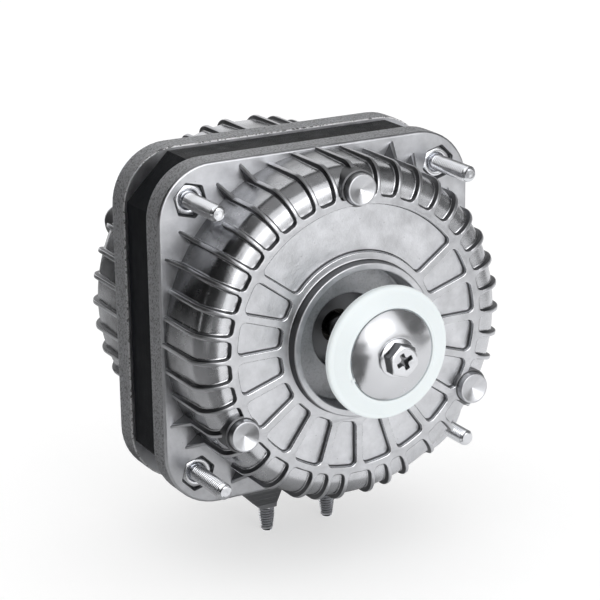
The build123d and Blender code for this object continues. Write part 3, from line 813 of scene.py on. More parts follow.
def threaded_end(surface, start, end, tip_r, taper, sizes, place=(0, 0, 0)):
    """Free threaded end along z with a tapered tip; its rows of points follow the thread's helix."""
    pitch, depth = sizes.pitch / MM, sizes.depth / MM
    top = end - THREAD_TOP
    turn = np.arange(THREAD_SEGMENTS + 1) / THREAD_SEGMENTS
    turns = range(int(start / pitch) - 2, ceil(top / pitch) + 1)
    starts = [n + share for n in turns for share in THREAD_CORNERS]
    level = np.clip((np.array(starts)[:, None] + turn) * pitch, start, top)
    phase = (level / pitch - turn) % 1.0
    crest = np.clip((np.abs(2 * phase - 1) - CREST_START) / CREST_RISE, 0, 1)
    runout = SHANK_R - 0.1 + (level - start) * RUNOUT_SLOPE
    tip = tip_r + (end - level) * (M4_R - tip_r) / taper
    reach = (M4_R - depth + depth * crest) * np.minimum(M4_R, np.minimum(runout, tip)) / M4_R
    rows = np.stack([reach * np.cos(2 * pi * turn), reach * np.sin(2 * pi * turn), level], axis=-1)
    last = rows[-1].copy()
    shape = np.hypot(last[:, 0], last[:, 1])[:, None]
    cap = []
    for share, drop in END_RINGS:
        ring_points = last.copy()
        ring_points[:, :2] = last[:, :2] / shape * min(tip_r, shape.min()) * share
        ring_points[:, 2] = end - drop
        cap.append(ring_points)
    # Faces in the thread's roots take a darker zinc, which is painted shade
    middle = (crest[:-1, :-1] + crest[1:, :-1] + crest[:-1, 1:] + crest[1:, 1:]) / 4
    shaded_roots = [int(deep) for deep in (middle < ROOT_LIMIT).ravel()] + [0] * (len(cap) * THREAD_SEGMENTS)
    surface.grid(np.concatenate([rows, np.array(cap)]) + np.asarray(place, float), False, False, shaded_roots)


def hex_rows(flats, turn, low, high, chamfer_r, both=False):
    """Rows of a hex prism whose corners a cone cuts back at the top, and at the bottom too if both."""
    angles = np.radians(turn + np.arange(HEX_STEPS) * 5.0)
    off = (np.degrees(angles) - turn + 30) % 60 - 30
    reach = flats / 2 / np.cos(np.radians(off))
    drop = np.maximum(reach - chamfer_r, 0) * tan(radians(30))
    xy = np.column_stack([np.cos(angles), np.sin(angles)])

    def row(r, z):
        ones = np.ones(HEX_STEPS)
        return np.column_stack([xy * np.reshape(r * ones, (-1, 1)), z * ones])

    rows = []
    if both:
        rows.append(row(np.minimum(chamfer_r, reach), low))
        rows.append(row(reach, low + drop))
    else:
        rows.append(row(reach - 0.1, low))
        rows.append(row(reach, low + 0.1))
    rows.append(row(reach, high - drop - 0.02))
    rows.append(row(reach - 0.03, high - drop + 0.01))
    rows.append(row(np.minimum(chamfer_r, reach) - 0.06, high))
    return rows, row


def nut(surface, place, turn):
    """Hex nut with chamfered corners and a countersunk thread."""
    high, low = -NUT_SINK, -NUT_POCKET
    rows, row = hex_rows(M4_FLATS, turn, low, high, M4_FLATS / 2 * 0.96, True)
    thread = SHANK_R + 0.03
    rows += [row(2.45, high), row(2.38, high - 0.04), row(SHANK_R + 0.05, high - 0.5), row(thread, low)]
    rows = [row(thread, low)] + rows
    surface.grid(np.array(rows) + np.array((*place, 0)))


def hex_head(surface, place, turn, seat):
    """Plain hex head that hangs from its seat, against z."""
    rows, row = hex_rows(M4_FLATS, turn, 0.0, HEAD_T, M4_FLATS / 2 * 0.95)
    rows = [row(SHANK_R, 0.0)] + rows
    rows += [row(2.4, HEAD_T - 0.02), row(2.2, HEAD_T - 0.18), row(0.02, HEAD_T - 0.2)]
    rows = np.array(rows)
    rows[..., 2] = seat - rows[..., 2]
    surface.grid(rows + np.array((*place, 0)), True, True)


def frame_place(points):
    """Points already in the frame's own directions, in millimetres."""
    return np.asarray(points, float) * MM


# --- Finishes, with sizes in metres

SHEET_T = 0.0005
BARE_LUG = (-0.0425, -0.0465)   # heights between which the lugs' lacquer gives way to bare metal


def new_group(name, inputs, outputs):
    """Empty shader node group with named sockets."""
    group = bpy.data.node_groups.new(name, "ShaderNodeTree")
    for label, kind, default in inputs:
        socket = group.interface.new_socket(label, in_out="INPUT", socket_type=kind)
        if default is not None:
            socket.default_value = default
    for label, kind in outputs:
        group.interface.new_socket(label, in_out="OUTPUT", socket_type=kind)
    return group, group.nodes.new("NodeGroupInput"), group.nodes.new("NodeGroupOutput")


def feed(tree, socket, value):
    """Link a socket to another one, or give it a number or a colour."""
    if isinstance(value, bpy.types.NodeSocket):
        tree.links.new(value, socket)
    elif isinstance(value, tuple):
        socket.default_value = (*value[:3], 1.0)
    else:
        socket.default_value = value


def math_node(tree, operation, a, b=None, clamp=False):
    node = tree.nodes.new("ShaderNodeMath")
    node.operation = operation
    node.use_clamp = clamp
    feed(tree, node.inputs[0], a)
    if b is not None:
        feed(tree, node.inputs[1], b)
    return node.outputs[0]


def remap(tree, value, low, high, to_low, to_high):
    node = tree.nodes.new("ShaderNodeMapRange")
    for label, given in (
        ("Value", value), ("From Min", low), ("From Max", high), ("To Min", to_low), ("To Max", to_high),
    ):
        feed(tree, node.inputs[label], given)
    return node.outputs["Result"]


def noise(tree, vector, scale, detail=2.0, roughness=0.5):
    node = tree.nodes.new("ShaderNodeTexNoise")
    for label, given in (("Vector", vector), ("Scale", scale), ("Detail", detail), ("Roughness", roughness)):
        feed(tree, node.inputs[label], given)
    return node.outputs["Fac"]


def mix_colour(tree, factor, a, b):
    node = tree.nodes.new("ShaderNodeMix")
    node.data_type = "RGBA"
    for socket, given in ((node.inputs[0], factor), (node.inputs[6], a), (node.inputs[7], b)):
        feed(tree, socket, given)
    return node.outputs[2]


def object_point(tree):
    """Place on the object, in metres of the frame."""
    return tree.nodes.new("ShaderNodeTexCoord").outputs["Object"]


def object_axis(tree, axis):
    """One coordinate of the place on the object."""
    split = tree.nodes.new("ShaderNodeSeparateXYZ")
    tree.links.new(object_point(tree), split.inputs[0])
    return split.outputs[axis]


def cast_skin():
    """Skin of a tumbled die casting: cloudy stains, fine grain and small pits."""
    group, given, out = new_group(
        "Cast skin",
        [("Grain", "NodeSocketFloat", 1.0), ("Stain", "NodeSocketFloat", 1.0)],
        [("Height", "NodeSocketFloat"), ("Cloud", "NodeSocketFloat"), ("Pits", "NodeSocketFloat")],
    )
    where = object_point(group)
    fine = noise(group, where, 2600.0, 3.0, 0.6)
    coarse = noise(group, where, 420.0, 3.0, 0.55)
    cloud = noise(group, where, 210.0, 5.0, 0.6)
    pit_cells = group.nodes.new("ShaderNodeTexVoronoi")
    pit_cells.inputs["Scale"].default_value = 900.0
    group.links.new(where, pit_cells.inputs["Vector"])
    pits = remap(group, pit_cells.outputs["Distance"], 0.05, 0.16, 1.0, 0.0)
    rare = remap(group, noise(group, where, 520.0, 1.0), 0.56, 0.64, 0.0, 1.0)
    pits = math_node(group, "MULTIPLY", pits, rare)
    height = math_node(group, "MULTIPLY", fine, given.outputs["Grain"])
    height = math_node(group, "ADD", height, math_node(group, "MULTIPLY", coarse, 1.2))
    height = math_node(group, "SUBTRACT", height, pits)
    spread = math_node(group, "MULTIPLY", math_node(group, "SUBTRACT", cloud, 0.5), given.outputs["Stain"])
    group.links.new(height, out.inputs["Height"])
    group.links.new(math_node(group, "ADD", spread, 0.5, True), out.inputs["Cloud"])
    group.links.new(pits, out.inputs["Pits"])
    return group


def edge_wear_and_corner_shade():
    """Mask of rubbed edges, and of painted shade in concave corners, from how sharply the surface bends."""
    group, given, out = new_group(
        "Edge wear and corner shade",
        [("Amount", "NodeSocketFloat", 0.5)],
        [("Edges", "NodeSocketFloat"), ("Corner shade", "NodeSocketFloat")],
    )
    bend = group.nodes.new("ShaderNodeNewGeometry").outputs["Pointiness"]
    broken = noise(group, object_point(group), 700.0, 4.0, 0.7)
    edges = remap(group, bend, 0.52, 0.6, 0.0, 1.0)
    edges = math_node(group, "MULTIPLY", edges, remap(group, broken, 0.35, 0.6, 0.3, 1.0))
    edges = math_node(group, "MULTIPLY", edges, given.outputs["Amount"])
    group.links.new(edges, out.inputs["Edges"])
    group.links.new(remap(group, bend, 0.48, 0.4, 0.0, 1.0), out.inputs["Corner shade"])
    return group


def flank_shade():
    """Shade that grows along the shaft from the shoulders of the domes down to the flanges."""
    group, given, out = new_group(
        "Flank shade",
        [("Middle", "NodeSocketFloat", 0.0127), ("Least", "NodeSocketFloat", 0.5)],
        [("Shade", "NodeSocketFloat")],
    )
    away = math_node(group, "SUBTRACT", object_axis(group, "Y"), given.outputs["Middle"])
    away = math_node(group, "ABSOLUTE", away)
    blur = math_node(group, "SUBTRACT", noise(group, object_point(group), 260.0, 3.0), 0.5)
    away = math_node(group, "ADD", away, math_node(group, "MULTIPLY", blur, 0.01))
    most = math_node(group, "SUBTRACT", 1.0, given.outputs["Least"])
    group.links.new(remap(group, away, 0.0135, 0.0245, most, 0.0), out.inputs["Shade"])
    return group


def sheet_lines():
    """Edges of stacked sheets along the shaft."""
    group, given, out = new_group(
        "Stacked sheets",
        [("Sheet", "NodeSocketFloat", SHEET_T)],
        [("Height", "NodeSocketFloat"), ("Shade", "NodeSocketFloat")],
    )
    number = math_node(group, "DIVIDE", object_axis(group, "Y"), given.outputs["Sheet"])
    saw = math_node(group, "FRACT", number)
    ridge = math_node(group, "ABSOLUTE", math_node(group, "SUBTRACT", saw, 0.5))
    line = remap(group, ridge, 0.36, 0.5, 1.0, 0.0)
    random = group.nodes.new("ShaderNodeTexWhiteNoise")
    random.noise_dimensions = "1D"
    group.links.new(math_node(group, "FLOOR", number), random.inputs["W"])
    height = math_node(group, "ADD", line, math_node(group, "MULTIPLY", random.outputs["Value"], 0.7))
    group.links.new(height, out.inputs["Height"])
    group.links.new(random.outputs["Value"], out.inputs["Shade"])
    return group


def group_node(tree, group, **values):
    node = tree.nodes.new("ShaderNodeGroup")
    node.node_tree = group
    for label, value in values.items():
        node.inputs[label].default_value = value
    return node


def new_material(name):
    """Node tree and shader of a new material."""
    material = bpy.data.materials.new(name)
    material.use_nodes = True
    return material.node_tree, material.node_tree.nodes["Principled BSDF"]


def scaled(colour, share):
    return tuple(min(c * share, 1.0) for c in colour)


def tinted(tree, factor, share, base, colour):
    """Colour mixed in where a factor is high, up to a share."""
    return mix_colour(tree, math_node(tree, "MULTIPLY", factor, share), base, colour)


def bump(tree, shader, height, distance):
    node = tree.nodes.new("ShaderNodeBump")
    node.inputs["Distance"].default_value = distance
    tree.links.new(height, node.inputs["Height"])
    tree.links.new(node.outputs["Normal"], shader.inputs["Normal"])


def dressed(tree, shader, base, skin, rough, depth, metallic=1.0, height=None):
    """Join a colour, the skin's bump and a roughness that follows its stains to the shader."""
    tree.links.new(base, shader.inputs["Base Color"])
    tree.links.new(remap(tree, skin.outputs["Cloud"], 0.2, 0.8, *rough), shader.inputs["Roughness"])
    shader.inputs["Metallic"].default_value = metallic
    bump(tree, shader, skin.outputs["Height"] if height is None else height, depth)


def cast_metal(name, colour, groups, rough, spread, grain, depth, wear=0.0, speckle=0.0, flank=1.0):
    """Cast aluminium with cloudy stains, dark specks, rubbed edges, painted shade in concave corners and
    flanks shaded down to the flange.
    """
    tree, shader = new_material(name)
    skin = group_node(tree, groups["cast"], Grain=grain, Stain=1.4)
    wear_and_shade = group_node(tree, groups["wear"], Amount=wear)
    base = mix_colour(tree, skin.outputs["Cloud"], scaled(colour, 0.72), scaled(colour, 1.2))
    base = tinted(tree, skin.outputs["Pits"], 0.5, base, (0.2, 0.2, 0.21))
    if speckle:
        specks = noise(tree, object_point(tree), 1900.0, 3.0, 0.65)
        specks = remap(tree, specks, 0.48, 0.64, 0.0, speckle)
        base = mix_colour(tree, specks, base, scaled(colour, 0.25))
    if flank < 1:
        shade = group_node(tree, groups["flank"], Middle=STACK_MID * MM, Least=flank)
        base = mix_colour(tree, shade.outputs["Shade"], base, scaled(colour, 0.12))
    # Painted shade in concave corners
    base = tinted(tree, wear_and_shade.outputs["Corner shade"], 0.45, base, (0.2, 0.2, 0.22))
    base = mix_colour(tree, wear_and_shade.outputs["Edges"], base, (0.82, 0.82, 0.84))
    dressed(tree, shader, base, skin, (rough - spread, rough + spread), depth)


def chipped_edge(name, colour, groups):
    """Edge of a casting that is rubbed bright in places and dark between them."""
    tree, shader = new_material(name)
    skin = group_node(tree, groups["cast"], Grain=2.0, Stain=2.4)
    chips = remap(tree, noise(tree, object_point(tree), 1100.0, 4.0, 0.7), 0.39, 0.49, 0.0, 1.0)
    base = mix_colour(tree, chips, scaled(colour, 0.3), (0.95, 0.95, 0.96))
    dressed(tree, shader, base, skin, (0.4, 0.6), 0.00008)


def lacquered_stack(name, colour, groups):
    """Black lacquer over the edges of stacked sheets, rubbed down to bare metal on the lugs."""
    tree, shader = new_material(name)
    sheets = group_node(tree, groups["sheets"], Sheet=SHEET_T)
    skin = group_node(tree, groups["cast"], Grain=0.4, Stain=1.0)
    shader.inputs["Specular IOR Level"].default_value = 0.05
    grey = tuple(c * 2.0 + 0.0015 for c in colour)
    base = tinted(tree, sheets.outputs["Shade"], 0.5, colour, grey)
    bare = remap(tree, object_axis(tree, "Z"), *BARE_LUG, 0.0, 1.0)
    base = mix_colour(tree, bare, base, (0.34, 0.345, 0.36))
    dressed(tree, shader, base, skin, (0.28, 0.48), 0.00006, 0.0, sheets.outputs["Height"])
    tree.links.new(bare, shader.inputs["Metallic"])


def plated_steel(name, colour, groups, rough, wear=0.0):
    tree, shader = new_material(name)
    skin = group_node(tree, groups["cast"], Grain=0.3, Stain=1.2)
    wear_and_shade = group_node(tree, groups["wear"], Amount=wear)
    base = mix_colour(tree, skin.outputs["Cloud"], scaled(colour, 0.85), colour)
    # Painted shade in concave corners
    base = tinted(tree, wear_and_shade.outputs["Corner shade"], 0.5, base, (0.25, 0.25, 0.27))
    dressed(tree, shader, base, skin, (rough * 0.7, rough * 1.5), 0.000006)


def moulded(name, colour, groups, rough, scatter=0.0):
    tree, shader = new_material(name)
    skin = group_node(tree, groups["cast"], Grain=0.5, Stain=0.8)
    wear_and_shade = group_node(tree, groups["wear"], Amount=0.3)
    base = mix_colour(tree, skin.outputs["Cloud"], scaled(colour, 0.95), colour)
    # Painted shade in concave corners
    base = tinted(tree, wear_and_shade.outputs["Corner shade"], 0.15, base, scaled(colour, 0.7))
    dressed(tree, shader, base, skin, (rough - 0.06, rough + 0.08), 0.000008, 0.0)
    if scatter:
        shader.inputs["Subsurface Weight"].default_value = scatter
        shader.inputs["Subsurface Radius"].default_value = (1.0, 0.9, 0.8)
        shader.inputs["Subsurface Scale"].default_value = 0.001


def bare_metal(name, colour, groups, rough, sheets=False):
    tree, shader = new_material(name)
    skin = group_node(tree, groups["cast"], Grain=0.8, Stain=1.6)
    dark = scaled(colour, 0.75)
    base = mix_colour(tree, skin.outputs["Cloud"], dark, colour)
    height = skin.outputs["Height"]
    if sheets:
        stack = group_node(tree, groups["sheets"], Sheet=SHEET_T)
        base = tinted(tree, stack.outputs["Shade"], 0.4, base, dark)
        height = math_node(tree, "ADD", height, stack.outputs["Height"])
    dressed(tree, shader, base, skin, (rough - 0.08, rough + 0.1), 0.00002, 1.0, height)


def wound_wire(name, groups):
    """Enamelled copper wire, wound in turns of half a millimetre."""
    tree, shader = new_material(name)
    wave = tree.nodes.new("ShaderNodeTexWave")
    wave.wave_type = "RINGS"
    wave.rings_direction = "Y"
    wave.inputs["Scale"].default_value = 620.0
    wave.inputs["Distortion"].default_value = 0.6
    tree.links.new(object_point(tree), wave.inputs["Vector"])
    skin = group_node(tree, groups["cast"], Grain=0.2, Stain=1.0)
    base = mix_colour(tree, wave.outputs["Fac"], (0.16, 0.045, 0.015), (0.52, 0.2, 0.08))
    dressed(tree, shader, base, skin, (0.25, 0.4), 0.0001, 0.8, wave.outputs["Fac"])


def oil_felt(name):
    tree, shader = new_material(name)
    fibre = noise(tree, object_point(tree), 3000.0, 6.0, 0.8)
    base = mix_colour(tree, fibre, (0.05, 0.046, 0.04), (0.2, 0.18, 0.15))
    tree.links.new(base, shader.inputs["Base Color"])
    tree.links.new(remap(tree, fibre, 0.3, 0.7, 0.7, 0.95), shader.inputs["Roughness"])
    bump(tree, shader, fibre, 0.0002)


# Name, tone against the castings' colour, roughness, its spread, grain, bump, wear, speckle, flank shade
CAST_KINDS = (
    ("Cast flat", 1.0, 0.34, 0.07, 1.0, 0.000022, 1.0, 0.0, 1.0),
    ("Cast pocket", 1.02, 0.25, 0.05, 0.5, 0.000014, 0.0, 0.0, 0.22),
    ("Cast cell floor", 1.08, 0.36, 0.08, 1.2, 0.00004, 0.0, 0.0, 1.0),
    # Side: rough as-cast skin with specks; its lower tone is painted shade
    ("Cast side, painted shade", 0.88, 0.42, 0.08, 2.2, 0.0002, 1.0, 0.85, 1.0),
    # Crevice: a dark tone that is painted shade in creases and recesses
    ("Cast crevice, painted shade", 0.27, 0.4, 0.08, 1.0, 0.00003, 0.0, 0.0, 1.0),
    # Rim: brighter and smoother, partly polish from tumbling and partly a painted highlight
    ("Cast rim, painted highlight", 1.15, 0.26, 0.05, 0.5, 0.00001, 0.0, 0.0, 1.0),
    # Recess: a grainy, rough skin whose lower tone is painted shade
    ("Cast recess, painted shade", 0.72, 0.42, 0.06, 2.0, 0.00004, 0.0, 0.25, 1.0),
)
# Name, tone against the plating's colour, roughness, wear
PLATED_KINDS = (
    # Dull: rougher zinc, darker by painted shade
    ("Zinc plate", 1.15, 0.18, 1.0),
    # Thread root: a dark zinc that is painted shade in the roots
    ("Zinc plate, dull, painted shade", 0.4, 0.28, 0.0),
    ("Zinc plate, painted thread root shade", 0.1, 0.4, 0.0),
    ("Zinc plate, pressed", 1.0, 0.2, 0.0),
)
# Name, colour, roughness
BARE_METALS = (
    ("Copper bar", (0.75, 0.36, 0.2), 0.35),
    ("Sintered bronze", (0.06, 0.056, 0.052), 0.45),
    ("Spring steel", (0.25, 0.27, 0.33), 0.3),
    ("Ground steel", (0.62, 0.62, 0.63), 0.22),
    ("Cage aluminium", (0.66, 0.66, 0.68), 0.4),
)


def all_finishes():
    """Every material of the motor, built once."""
    if "Cast flat" in bpy.data.materials:
        return
    f = bpy.context.scene.motor_finishes
    # The wear group gives rubbed edges and painted shade in corners
    groups = {"cast": cast_skin(), "wear": edge_wear_and_corner_shade(), "sheets": sheet_lines(), "flank": flank_shade()}
    for name, tone, rough, spread, grain, depth, wear, speckle, flank in CAST_KINDS:
        colour = scaled(f.cast, tone)
        cast_metal(name, colour, groups, rough, spread, grain, depth, f.wear * wear, speckle, flank)
    chipped_edge("Cast chipped edge", tuple(f.cast), groups)
    lacquered_stack("Black lacquer on sheets", tuple(f.lacquer), groups)
    for name, tone, rough, wear in PLATED_KINDS:
        plated_steel(name, scaled(f.zinc, tone), groups, rough, f.wear * wear)
    moulded("White nylon", tuple(f.nylon), groups, 0.36, 0.15)
    moulded("Natural nylon", (0.78, 0.74, 0.62), groups, 0.42, 0.1)
    moulded("Black rubber", (0.02, 0.02, 0.021), groups, 0.55)
    for name, colour, rough in BARE_METALS:
        bare_metal(name, colour, groups, rough)
    bare_metal("Rotor iron", (0.2, 0.2, 0.23), groups, 0.4, True)
    wound_wire("Enamelled wire", groups)
    oil_felt("Oil felt")


def finish(name):
    all_finishes()
    return bpy.data.materials[name]


# In the order of the castings' finish numbers
CAST_FINISHES = (
    "Cast flat", "Cast pocket", "Cast cell floor", "Cast side, painted shade", "Cast crevice, painted shade", "Cast chipped edge",
    "Cast rim, painted highlight", "Cast recess, painted shade",
)
NODE_FINISHES = {
    "shading_rings": "Copper bar",
    "cable_grommet": "Black rubber",
    "shaft": "Ground steel",
    "rotor_core": "Rotor iron",
    "rotor_cage": "Cage aluminium",
}
for end_name in ("front", "rear"):
    NODE_FINISHES[end_name + "_bearing"] = "Sintered bronze"
    NODE_FINISHES[end_name + "_felt"] = "Oil felt"
    NODE_FINISHES[end_name + "_retainer"] = "Spring steel"
    NODE_FINISHES[end_name + "_spacer"] = "Natural nylon"
    NODE_FINISHES[end_name + "_thrust_washer"] = "Natural nylon"
for side_name in ("right", "top", "left", "bottom"):
    NODE_FINISHES["bobbin_" + side_name] = "Natural nylon"
    NODE_FINISHES["winding_" + side_name] = "Enamelled wire"


# --- Operators

class MOTOR_OT_castings(bpy.types.Operator):
    """Draw both die-cast shields with their fins, cells, bosses and rounded edges"""

    bl_idname = "motor.castings"
    bl_label = "Cast shields"

    def execute(self, context):
        sizes = context.scene.motor_casting
        skins = [finish(name) for name in CAST_FINISHES]
        for node, stand in (("front_shield", front_place), ("rear_shield", rear_place)):
            surface = casting(sizes, node == "rear_shield")
            surface.place(node + "_cast", "housing", stand, skins, [node], "cast_aluminium")
        return {"FINISHED"}


class MOTOR_OT_stack(bpy.types.Operator):
    """Draw the lamination stack with its lugs tapered towards the base studs"""

    bl_idname = "motor.stack"
    bl_label = "Lamination stack"

    def execute(self, context):
        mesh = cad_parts["stator_core"].data
        points = np.array([v.co for v in mesh.vertices]) / MM
        block = Surface()
        block.add(points, [tuple(p.vertices) for p in mesh.polygons])
        piece = block.place(
            "stator_core_tapered", "housing", frame_place, [], ["stator_core"], "black_laminations"
        )
        wedges = [self.wedge(side) for side in (-1, 1)]
        for wedge in wedges:
            cut = piece.modifiers.new("Lug taper", "BOOLEAN")
            cut.operation = "DIFFERENCE"
            cut.solver = "EXACT"
            cut.object = wedge
        bpy.context.view_layer.update()
        done = bpy.data.meshes.new_from_object(piece.evaluated_get(context.evaluated_depsgraph_get()))
        piece.modifiers.clear()
        piece.data = done
        for wedge in wedges:
            bpy.data.objects.remove(wedge)
        if not done.polygons:
            raise RuntimeError("Nothing of the stack is left after the lugs' taper")
        done.materials.clear()
        done.materials.append(finish("Black lacquer on sheets"))
        return {"FINISHED"}

    def wedge(self, side):
        """Cutter that narrows both lugs along the shaft, from one side of the stack."""
        outside = STACK_T / 2 + 1.0
        outline = [
            (outside, LUG_BOTTOM + 1.0), (outside, LUG_SHOULDER), (STACK_T / 2, LUG_SHOULDER),
            (LUG_FOOT_HALF, LUG_BOTTOM - LUG_FOOT_L), (LUG_FOOT_HALF, LUG_BOTTOM + 1.0),
        ]
        reach = FLANGE_HALF / 2
        rows = [[(x, STACK_MID + side * y, -z) for y, z in outline] for x in (-reach, reach)]
        mesh = bpy.data.meshes.new("Lug cutter")
        n = len(outline)
        faces = [(i, (i + 1) % n, n + (i + 1) % n, n + i) for i in range(n)]
        faces += [tuple(range(n))[::-1], tuple(range(n, 2 * n))]
        mesh.from_pydata((np.array(rows).reshape(-1, 3) * MM).tolist(), [], faces)
        work = bmesh.new()
        work.from_mesh(mesh)
        bmesh.ops.recalc_face_normals(work, faces=work.faces)
        work.to_mesh(mesh)
        work.free()
        wedge = bpy.data.objects.new("Lug cutter", mesh)
        bpy.context.scene.collection.objects.link(wedge)
        return wedge


class MOTOR_OT_fasteners(bpy.types.Operator):
    """Draw the tie bolts, their nuts and the base studs with threads and chamfers"""

    bl_idname = "motor.fasteners"
    bl_label = "Threaded fasteners"

    def execute(self, context):
        sizes = context.scene.motor_fasteners
        zinc = [finish("Zinc plate"), finish("Zinc plate, painted thread root shade")]
        bolts, nuts = Surface(), Surface()
        seat = -OVERALL + NUT_POCKET
        for place, turn in bolt_places():
            bolts.turned([(SHANK_R, seat), (SHANK_R, -NUT_SINK)], 32, False, 0, (*place, 0))
            threaded_end(bolts, -NUT_SINK, BOLT_TIP, BOLT_TIP_R, BOLT_TAPER, sizes, (*place, 0))
            hex_head(bolts, place, turn, seat)
            nut(nuts, place, turn)
        bolts.place("tie_bolts_threaded", "housing", front_place, zinc, ["tie_bolts"], "zinc_steel")
        nuts.place("tie_nuts_chamfered", "housing", front_place, zinc, ["tie_nuts"], "zinc_steel")
        stud = Surface()
        head = STUD_HEAD + HEAD_T
        hex_head(stud, (0, 0), 0, head)
        stud.turned([(SHANK_R, head), (SHANK_R, STUD_START)], 32)
        threaded_end(stud, STUD_START, STUD_TIP, STUD_TIP_R, STUD_TAPER, sizes)
        downward = np.vstack(stud.points) * (1, -1, -1)
        studs = Surface()
        for side in (-1, 1):
            studs.add(downward + (side * STUD_X, STACK_MID, 0), stud.faces, stud.finishes)
        studs.place("base_studs_threaded", "housing", frame_place, zinc, ["base_studs"], "zinc_steel")
        return {"FINISHED"}


class MOTOR_OT_fan_hub(bpy.types.Operator):
    """Draw the fan hub, its domed cap and the hex flange screw"""

    bl_idname = "motor.fan_hub"
    bl_label = "Fan hub, cap and screw"

    def execute(self, context):
        sizes = context.scene.motor_hub
        self.hub(sizes)
        self.cap()
        self.screw()
        return {"FINISHED"}

    def hub(self, sizes):
        surface = Surface()
        rim = sizes.rim / MM
        profile = [
            (HUB_BORE, HUB_BACK_END), (HUB_NECK_R, HUB_BACK_END), (HUB_NECK_R, HUB_BACK), (HUB_R, HUB_BACK),
            (HUB_R, HUB_FRONT - 0.1), (HUB_R - 1.2, HUB_FRONT + 0.15), (CAP_R + 0.9, CAP_SEAT + 0.85),
            (CAP_R + 0.2, CAP_SEAT + 0.8), (CAP_R + 0.2, CAP_SEAT), (HUB_BORE, CAP_SEAT),
            (HUB_BORE, HUB_BACK_END),
        ]
        radii = [0.3, 1.0, rim, rim, 1.5, 0.5, 0.25, 0.2, 0.1]
        surface.turned(rounded(profile, radii, 5), 160, True)
        nib = sizes.nib / MM
        ball = [(0.02, nib), (nib * 0.5, nib * 0.86), (nib * 0.86, nib * 0.5), (nib, 0), (nib, -nib)]
        for angle, radius, height in (
            (17.0, HUB_R - 0.25, HUB_FRONT - 0.9), (203.0, CAP_R + 0.5, CAP_SEAT + 0.62),
        ):
            place = polar(radius, angle)
            surface.turned([(r, z + height) for r, z in ball], 20, True, 0, place)
        nylon = [finish("White nylon")]
        surface.place("drive_hub_moulded", "rotor", front_place, nylon, ["drive_hub"], "white_nylon")

    def cap(self):
        surface = Surface()
        rise = CAP_TOP - CAP_SEAT - CAP_T
        run = CAP_R - CAP_FLAT_R
        profile = [(CAP_HOLE_R, CAP_TOP), (CAP_FLAT_R, CAP_TOP)]
        steps = 14
        for k in range(1, steps):
            t = k / steps
            profile.append((CAP_FLAT_R + run * t, CAP_TOP - rise * (t**1.75) - 0.15 * t))
        profile += [
            (CAP_R, CAP_SEAT + 0.75), (CAP_R, CAP_SEAT), (CAP_R - 0.6, CAP_SEAT),
            (CAP_FLAT_R, CAP_TOP - CAP_T), (CAP_HOLE_R, CAP_TOP - CAP_T), (CAP_HOLE_R, CAP_TOP),
        ]
        radii = [0.4] + [0.0] * (steps - 1) + [0.15, 0.3, 0.2, 0.3, 0.1]
        surface.turned(rounded(profile, radii, 4), 144, True)
        zinc = [finish("Zinc plate, pressed")]
        surface.place("cap_washer_pressed", "rotor", front_place, zinc, ["cap_washer"], "zinc_cap")

    def screw(self):
        surface = Surface()
        surface.turned([(M4_R - 0.3, SCREW_END), (M4_R, SCREW_END + 0.4), (M4_R, CAP_TOP)], 40)
        rim = [(SCREW_FLANGE_R, CAP_TOP), (SCREW_FLANGE_R, CAP_TOP + 0.35)]
        surface.turned(rounded([(M4_R, CAP_TOP), *rim, (3.2, SCREW_FLANGE_TOP)], [0.0, 0.18], 4), 96)
        head_r = M4_FLATS / 2 * 0.93
        rows, row = hex_rows(M4_FLATS, 12.0, SCREW_FLANGE_TOP - 0.35, SCREW_TOP, head_r)
        rows[0] = row(3.3, SCREW_FLANGE_TOP - 0.4)
        rows.append(row(head_r - 0.35, SCREW_TOP))
        # The hex's sides and the cross recess take the dull zinc, whose darker tone is painted shade
        surface.grid(rows[:4], True, False, 1)
        surface.grid(rows[3:])
        loops = [
            at_height(self.cross_outline(grow), SCREW_TOP - depth)
            for grow, depth in ((0.12, 0.0), (0.04, 0.06), (0.0, 0.2), (-0.16, 1.3))
        ]
        surface.fill([rows[-1], loops[0]])
        surface.grid(loops[::-1], True, False, 1)
        surface.fill([loops[-1]], False, 1)
        zinc = [finish("Zinc plate"), finish("Zinc plate, dull, painted shade")]
        surface.place("hub_screw_flanged", "rotor", front_place, zinc, ["hub_screw"], "zinc_steel")

    def cross_outline(self, grow):
        """Cross recess with rounded arms, turned a little from upright."""
        arm, half, inner = 2.0 + grow, 0.5 + grow, 0.78 + grow
        corner = arm - 0.12
        quarter = (
            (inner, -half), (corner, -half), (arm, -half * 0.6), (arm, half * 0.6), (corner, half),
            (inner, half),
        )
        points = []
        for k in range(4):
            c, s = cos(radians(90 * k + CROSS_TURN)), sin(radians(90 * k + CROSS_TURN))
            points += [(along * c - across * s, along * s + across * c) for along, across in quarter]
        return points


class MOTOR_OT_node_finishes(bpy.types.Operator):
    """Give the coils, bearings, grommet and rotor their finishes"""

    bl_idname = "motor.node_finishes"
    bl_label = "Inner finishes"

    def execute(self, context):
        for node, name in NODE_FINISHES.items():
            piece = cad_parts[node]
            piece.data.materials.clear()
            piece.data.materials.append(finish(name))
        return {"FINISHED"}


# Camera, solved from the photograph
CAMERA_PLACE = (-0.248237, -0.437433, 0.164008)
CAMERA_YAW = radians(29.052)
CAMERA_PITCH = radians(17.631)
CAMERA_ROLL = radians(-0.786)
CAMERA_LENS = 131.85
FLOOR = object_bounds()[0][2]
FLOOR_HALF = 3.0
FLOOR_GLOW = 0.49
LAMP_PLACE = (278, 13, 0.8)     # azimuth, elevation, distance
LAMP_SIZE = (0.42, 0.3)

